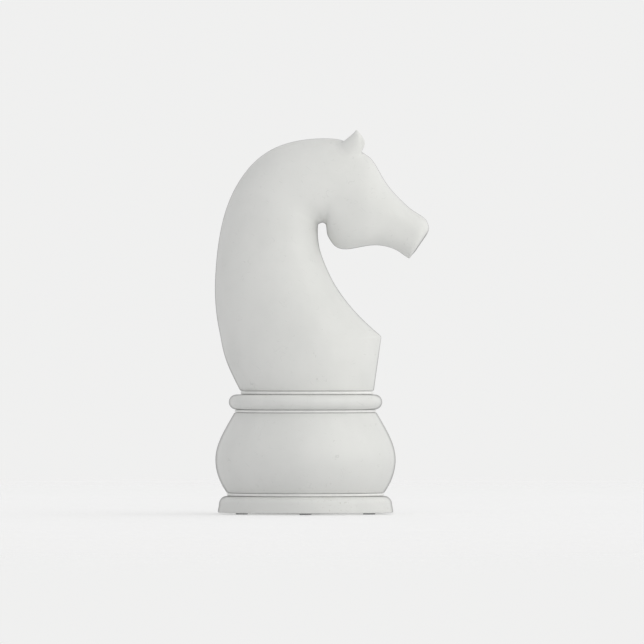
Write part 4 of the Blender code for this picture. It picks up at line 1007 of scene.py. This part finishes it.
# ---- neck plate and its fasteners
def make_neck_plate():
    """An oval plate with a register lip below, screw posts, and a pocket for the nut."""
    lo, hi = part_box("neck_plate")
    bottom, top = 166.9 * UNIT, 171.9 * UNIT
    long, wide = (hi.x - lo.x) / 2, (hi.y - lo.y) / 2
    edge, inside = 0.6 * MM, (bottom + top) / 2
    flat = 1 - edge / long  # the disc has a radius of 1, and is then stretched to the oval
    disc = [(0, top), (flat, top), (1, top - edge), (1, bottom + edge), (flat, bottom), (0, bottom)]
    centre = (centre_of("neck_plate").x, 0)
    plate = revolve(disc, 128, closed=False, centre=centre, squash=(long, wide))
    lip = [(LIP_IN, inside), (LIP_OUT, inside), (LIP_OUT, lo.z, 1 * MM), (LIP_IN, lo.z, 0.6 * MM)]
    plate = combine(plate, revolve(fillet(lip), 128), "UNION")
    plate = posts(plate, AXIS, 17 * UNIT, inside, 185 * UNIT, 64)
    plate = posts(plate, PLATE_SCREW_PLACES, 5 * UNIT, inside, top + 12 * UNIT)
    plate = holes(plate, AXIS, 6.8 * MM, bottom - 1 * MM, 186 * UNIT, 48)
    plate = holes(plate, PLATE_SCREW_PLACES, PILOT, bottom - 1 * MM, top + 9 * UNIT, 24)
    plate = holes(plate, AXIS, 11.2 * MM, 174.6 * UNIT, 186 * UNIT, 6)
    add_piece("neck_plate", reshade(plate), "hdpe")


def cross_recess(bottom, top, arm, thickness):
    """The tapered cross that a screwdriver fits."""
    short = thickness / 2
    quarter = [(short, -arm), (short, -short), (arm, -short)]
    outline = []
    for _ in range(4):
        outline += quarter
        quarter = [(-y, x) for x, y in quarter]
    work = bmesh.new()
    rings = [[work.verts.new((x * k, y * k, z)) for x, y in outline] for k, z in ((1, bottom), (0.75, top))]
    skin(work, rings)
    work.faces.new(rings[0])
    work.faces.new(rings[1])
    return finish_mesh(work)


SCREW_SHANK, SCREW_THREAD = 2 * MM, 0.45 * MM  # radius and thread depth


def make_plate_screws():
    """Countersunk self-tapping screws with a cross recess, pointing up."""
    face, tip = low("plate_screw_1").z - NECK_BOTTOM, high("plate_screw_1").z - NECK_BOTTOM
    head, sink = 4 * MM, 2.2 * MM
    turns = thread(around(40), sink + 1 * MM, tip - 1.8 * MM, SCREW_SHANK, SCREW_THREAD, 1.2 * MM)
    profile = [(0, tip), (0.4 * MM, tip - 0.2 * MM), *turns[::-1], (SCREW_SHANK, sink)]
    profile += [(head, face + 0.35 * MM), (head, face + 0.1 * MM), (head - 0.15 * MM, face), (0, face)]
    recess = cross_recess(face - 0.1 * MM, face + 1.6 * MM, 2.1 * MM, 0.9 * MM)
    screw = reshade(combine(revolve(profile, 40, closed=False), recess, "DIFFERENCE"), 30)
    add_pieces("plate_screw", screw, "steel", [(x, y, NECK_BOTTOM) for x, y in PLATE_SCREW_PLACES], 0.4)


def make_head_screws():
    """Pan-head self-tapping screws along Y, with a cross recess."""
    top, tip = high("head_screw_1").y, low("head_screw_1").y
    seat, head = top - 3.2 * MM, 4.8 * MM
    turns = thread(around(40), seat - 3 * MM, tip + 2.2 * MM, SCREW_SHANK, SCREW_THREAD, 1.4 * MM)
    profile = [(0, tip), (0.3 * MM, tip + 0.3 * MM), *turns[::-1]]
    profile += fillet([(SCREW_SHANK, seat), (head, seat, 0.3 * MM), (head, top, 1.9 * MM), (0, top)])
    recess = cross_recess(top + 0.1 * MM, top - 1.9 * MM, 2.3 * MM, 1.0 * MM)
    screw = combine(revolve(profile, 40, closed=False), recess, "DIFFERENCE")
    screw = reshade(lay_across(screw), 30)
    add_pieces("head_screw", screw, "steel", [(x, 0, z) for x, z in HEAD_SCREW_PLACES])


# ---- clamp
ROD_BORE = 6.35 * MM  # radius of the hole in the knob and the nut


def make_rod():
    """A plain shank with a chamfered, threaded top end that the nut takes."""
    lo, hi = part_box("tie_rod")
    radius, turn = radius_of("tie_rod"), around(48)
    start = hi.z - 42 * MM
    loop = [(0, lo.z), (radius - 1.2 * MM, lo.z), (radius, lo.z + 1.0 * MM), (radius, start - 1.0 * MM)]
    chamfer = hi.z - 1.2 * MM
    loop += thread(turn, start, hi.z - 0.01 * MM, radius, 0.9 * MM, 1.75 * MM, chamfer=chamfer)
    loop += [(radius - 1.3 * MM, hi.z), (0, hi.z)]
    add_piece("tie_rod", revolve(loop[::-1], len(turn), closed=False, angle=55), "steel")


def rounded_edge(outline, z, radius, angles):
    """Rings round the edge of a piece. A radius below 0 rounds its underside."""
    size = abs(radius)
    return [(outline - size * (1 - math.cos(a)), z - radius * (1 - math.sin(a))) for a in np.radians(angles)]


def make_knob():
    """A lobed hand knob with a crowned rim and a dished underside."""
    lo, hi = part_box("hand_knob")
    turn = around(210)
    lobes, reach = 7, 3 * MM
    outline = hi.x - reach + reach * np.cos(lobes * turn)
    crown, base, hub = 2.2 * MM, 2.6 * MM, 11 * MM
    dish = lo.z + 2.6 * MM
    loop = [(ROD_BORE, hi.z), (outline - crown, hi.z)]
    loop += rounded_edge(outline, hi.z, crown, (70, 45, 20, 0))
    loop += rounded_edge(outline, lo.z, -base, (0, 20, 45, 70, 90))
    loop += [(outline - 3.8 * MM, lo.z), (outline - 4.3 * MM, lo.z + 0.4 * MM), (outline - 5.0 * MM, dish)]
    loop += [(hub + 1.0 * MM, dish), (hub + 0.4 * MM, dish - 0.4 * MM), (hub, lo.z + 0.4 * MM)]
    loop += [(hub - 0.4 * MM, lo.z), (ROD_BORE + 0.3 * MM, lo.z), (ROD_BORE, lo.z + 0.3 * MM)]
    add_piece("hand_knob", revolve(loop, len(turn), angle=50), "nylon")


def make_washer():
    bottom, top = low("tie_washer").z, high("tie_washer").z
    outer, bore, rim, burr = radius_of("tie_washer"), 6.6 * MM, 0.35 * MM, 0.2 * MM
    corners = [(bore, top, burr), (outer, top, rim), (outer, bottom, rim), (bore, bottom, burr)]
    add_piece("tie_washer", revolve(fillet(corners, 3), 96, angle=30), "steel")


def make_nut():
    """A hexagon nut whose corners are chamfered above and below."""
    lo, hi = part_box("tie_nut")
    turn, sixth = around(144), math.pi / 3
    corner = radius_of("tie_nut")
    flat = corner * math.cos(sixth / 2)
    hexagon = flat / np.cos((turn + sixth / 2) % sixth - sixth / 2)
    small, chamfer = flat * 0.97, 0.6 * MM
    rings = [
        (np.minimum(hexagon, small + (corner - small) * share), hi.z - 0.9 * MM * share)
        for share in np.linspace(0, 1, 5)
    ]
    rings += [(radius, lo.z + hi.z - z) for radius, z in rings[::-1]]
    loop = [(ROD_BORE + chamfer, hi.z), *rings, (ROD_BORE + chamfer, lo.z)]
    loop += [(ROD_BORE, lo.z + chamfer), (ROD_BORE, hi.z - chamfer)]
    add_piece("tie_nut", revolve(loop, len(turn), angle=25), "steel")


def make_nut_cap():
    lo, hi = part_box("nut_cap")
    outer = radius_of("nut_cap")
    inner, hole, roof, edge = outer - 2.2 * MM, 7.2 * MM, hi.z - 2.2 * MM, 0.5 * MM
    corners = [(hole, hi.z, edge), (outer, hi.z, 1.2 * MM), (outer, lo.z, edge)]
    corners += [(inner, lo.z, edge), (inner, roof, edge), (hole, roof, edge)]
    add_piece("nut_cap", revolve(fillet(corners), 96), "nylon")


# ---- filler plug
def grip(bottom, top):
    """The bar under the plug that a hand turns."""
    work = bmesh.new()
    thickness, length = 6 * UNIT, 36 * UNIT
    size = Matrix.Diagonal((thickness, length, top - bottom, 1))
    bmesh.ops.create_cube(work, size=1.0, matrix=Matrix.Translation((0, 0, (bottom + top) / 2)) @ size)
    bmesh.ops.bevel(work, geom=work.edges[:], offset=1.2 * MM, segments=4, affect="EDGES", profile=0.5)
    return mesh_of(work)


def make_plug():
    """A threaded plug with a finely notched flange."""
    lo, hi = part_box("filler_plug")
    flange_top, flange_bottom = 29.6 * UNIT, 27.2 * UNIT
    turn, notches = around(180), 30
    notched = (hi.x - lo.x) / 2 - 0.7 * MM * np.clip(np.cos(notches * turn) * 2.5, 0, 1)
    stem, root, edge = 15.6 * UNIT, 14.5 * UNIT, 0.5 * MM
    start, dish, face = flange_top + 3 * MM, hi.z - 1.2 * MM, flange_bottom + 0.6 * MM
    loop = [(0, dish), (stem - 4 * MM, dish), (stem - 4.4 * MM, hi.z), (stem - 1.5 * MM, hi.z)]
    loop += thread(turn, hi.z - 1.0 * MM, start, stem, 1.1 * MM, 4 * MM, 12, hi.z - 2.5 * MM)
    loop += [(root, start - 0.4 * MM), (root, flange_top), (notched - edge, flange_top)]
    loop += [(notched, flange_top - edge), (notched, flange_bottom + edge), (notched - edge, flange_bottom)]
    loop += [(18 * UNIT, flange_bottom), (17.4 * UNIT, face), (0, face)]
    plug = revolve(loop, len(turn), closed=False, angle=45)
    plug = combine(plug, grip(lo.z, flange_bottom + 1.2 * MM), "UNION")
    add_piece("filler_plug", reshade(plug, 45), "nylon", (PLUG_X, 0, 0))


def make_plug_seal():
    lo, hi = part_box("plug_seal")
    outer, inner = (hi.x - lo.x) / 2, 16.2 * UNIT
    half = (hi.z - lo.z) / 2
    middle = lo.z + half
    profile = arc((outer - half, middle), (half, half), 90, -90, 10)
    profile += arc((inner + half, middle), (half, half), -90, -270, 10)
    add_piece("plug_seal", revolve(profile, 96), "rubber", (PLUG_X, 0, 0))


# ---- what stays as the frame has it
def paint_sand():
    materials = frame["nodes"]["sand_fill"].data.materials
    materials.clear()
    materials.append(LOOKS["sand"])


# ---- stage, light and camera
AMBIENT = 0.805  # mean brightness of the surroundings
SLANT = 0.23  # how much brighter the right is than the left
BACKDROP = (0.870, 0.870, 0.866)
SOFTBOX = 1.2  # watts
SOFTBOX_PLACE = (0.62, -0.5, 0.5)
SOFTBOX_SIZE = 0.7
SOFTBOX_COLOUR = (1.0, 1.0, 0.9)
FLOOR_SIZE = 9.0
FLOOR_DARK, FLOOR_LIGHT = (0.8955,) * 3, (0.9045,) * 3
FLOOR_GLOW, GLOW_COLOUR = 0.158, (1.0, 1.0, 0.99)  # seen by the camera only
FADE_START, FADE_END = 0.9, 4.0  # distances over which the floor fades into the backdrop
FLOOR_DROP = 0.2 * MM  # keeps the floor off the pads' faces
FLOOR_HOLE = 112 * MM  # light passes the floor under the foot, for the views from below
LENS, SENSOR = 700, 36  # mm
FRAME_HEIGHTS = 1.6785  # width of the picture, in heights of the knight


def make_floor():
    """A plain pale floor that fades into the backdrop far from the knight."""
    work = bmesh.new()
    bmesh.ops.create_grid(work, x_segments=40, y_segments=40, size=FLOOR_SIZE)
    floor = new_object("floor", finish_mesh(work))
    made, n = material("pale_floor")
    seen = n.add("ShaderNodeLightPath").outputs["Is Camera Ray"]
    colour = n.mix(n.ramp(n.noise(6, 3.0), 0.3, 0.7), FLOOR_DARK, FLOOR_LIGHT)
    n.surface(Base_Color=colour, Roughness=0.9, Specular_IOR_Level=0.1)
    n.surface(Emission_Color=GLOW_COLOUR, Emission_Strength=n.times(seen, FLOOR_GLOW))
    distance = n.add("ShaderNodeVectorMath", {0: n.geometry("Position")}, operation="LENGTH").outputs["Value"]
    hole = n.times(n.maths("LESS_THAN", distance, FLOOR_HOLE), n.maths("SUBTRACT", 1.0, seen))
    clear = n.maths("MAXIMUM", n.ramp(distance, FADE_START, FADE_END), hole)
    clear = n.maths("MAXIMUM", clear, n.geometry("Backfacing"))
    principled, glass = n.tree.nodes["Principled BSDF"], n.add("ShaderNodeBsdfTransparent")
    n.blend_into("Material Output", clear, principled, glass)
    floor.data.materials.append(made)
    floor.location.z = -FLOOR_DROP
    return floor


def make_surroundings():
    """Soft light that is stronger from the right, over a plain pale backdrop."""
    world = bpy.data.worlds.new("studio")
    bpy.context.scene.world = world
    world.use_nodes = True
    n = Nodes(world.node_tree)
    across = n.part(n.add("ShaderNodeTexCoord").outputs["Generated"], "X")
    strength = n.ramp(across, -1, 1, AMBIENT * (1 - SLANT), AMBIENT * (1 + SLANT), "LINEAR")
    lit = n.add("ShaderNodeBackground", {"Color": (1, 1, 1), "Strength": strength})
    seen = n.add("ShaderNodeBackground", {"Color": BACKDROP})
    camera_ray = n.add("ShaderNodeLightPath").outputs["Is Camera Ray"]
    n.blend_into("World Output", camera_ray, lit, seen)


def make_softbox(floor):
    """A large lamp from the right that doesn't light the floor."""
    light = bpy.data.lights.new("softbox", "AREA")
    light.energy, light.size, light.color = SOFTBOX, SOFTBOX_SIZE, SOFTBOX_COLOUR
    lamp = new_object("softbox", light)
    lamp.location = SOFTBOX_PLACE
    aim = Vector((0, 0, HEIGHT / 2)) - lamp.location
    lamp.rotation_euler = aim.to_track_quat("-Z", "Y").to_euler()
    unlit = bpy.data.collections.new("not_lit_by_softbox")
    unlit.objects.link(floor)
    lamp.light_linking.receiver_collection = unlit
    unlit.collection_objects[0].light_linking.link_state = "EXCLUDE"


def make_camera():
    """A long lens at the knight's mid height, looking along +Y."""
    lens = bpy.data.cameras.new("camera")
    lens.lens, lens.sensor_width = LENS, SENSOR
    lens.clip_start, lens.clip_end = 0.1, 100
    camera = new_object("camera", lens)
    middle = (CAD_BOX[0] + CAD_BOX[1]) / 2
    camera.location = (middle.x, -HEIGHT * FRAME_HEIGHTS * LENS / SENSOR, middle.z)
    camera.rotation_euler = (math.radians(90), 0, 0)
    bpy.context.scene.camera = camera
    bpy.context.scene.view_settings.view_transform = "Standard"


make_foot()
make_gaskets()
make_tank()
make_collar()
make_head()
make_neck_plate()
make_plate_screws()
make_head_screws()
make_rod()
make_knob()
make_washer()
make_nut()
make_nut_cap()
make_plug()
make_plug_seal()
paint_sand()
make_softbox(make_floor())
make_surroundings()
make_camera()
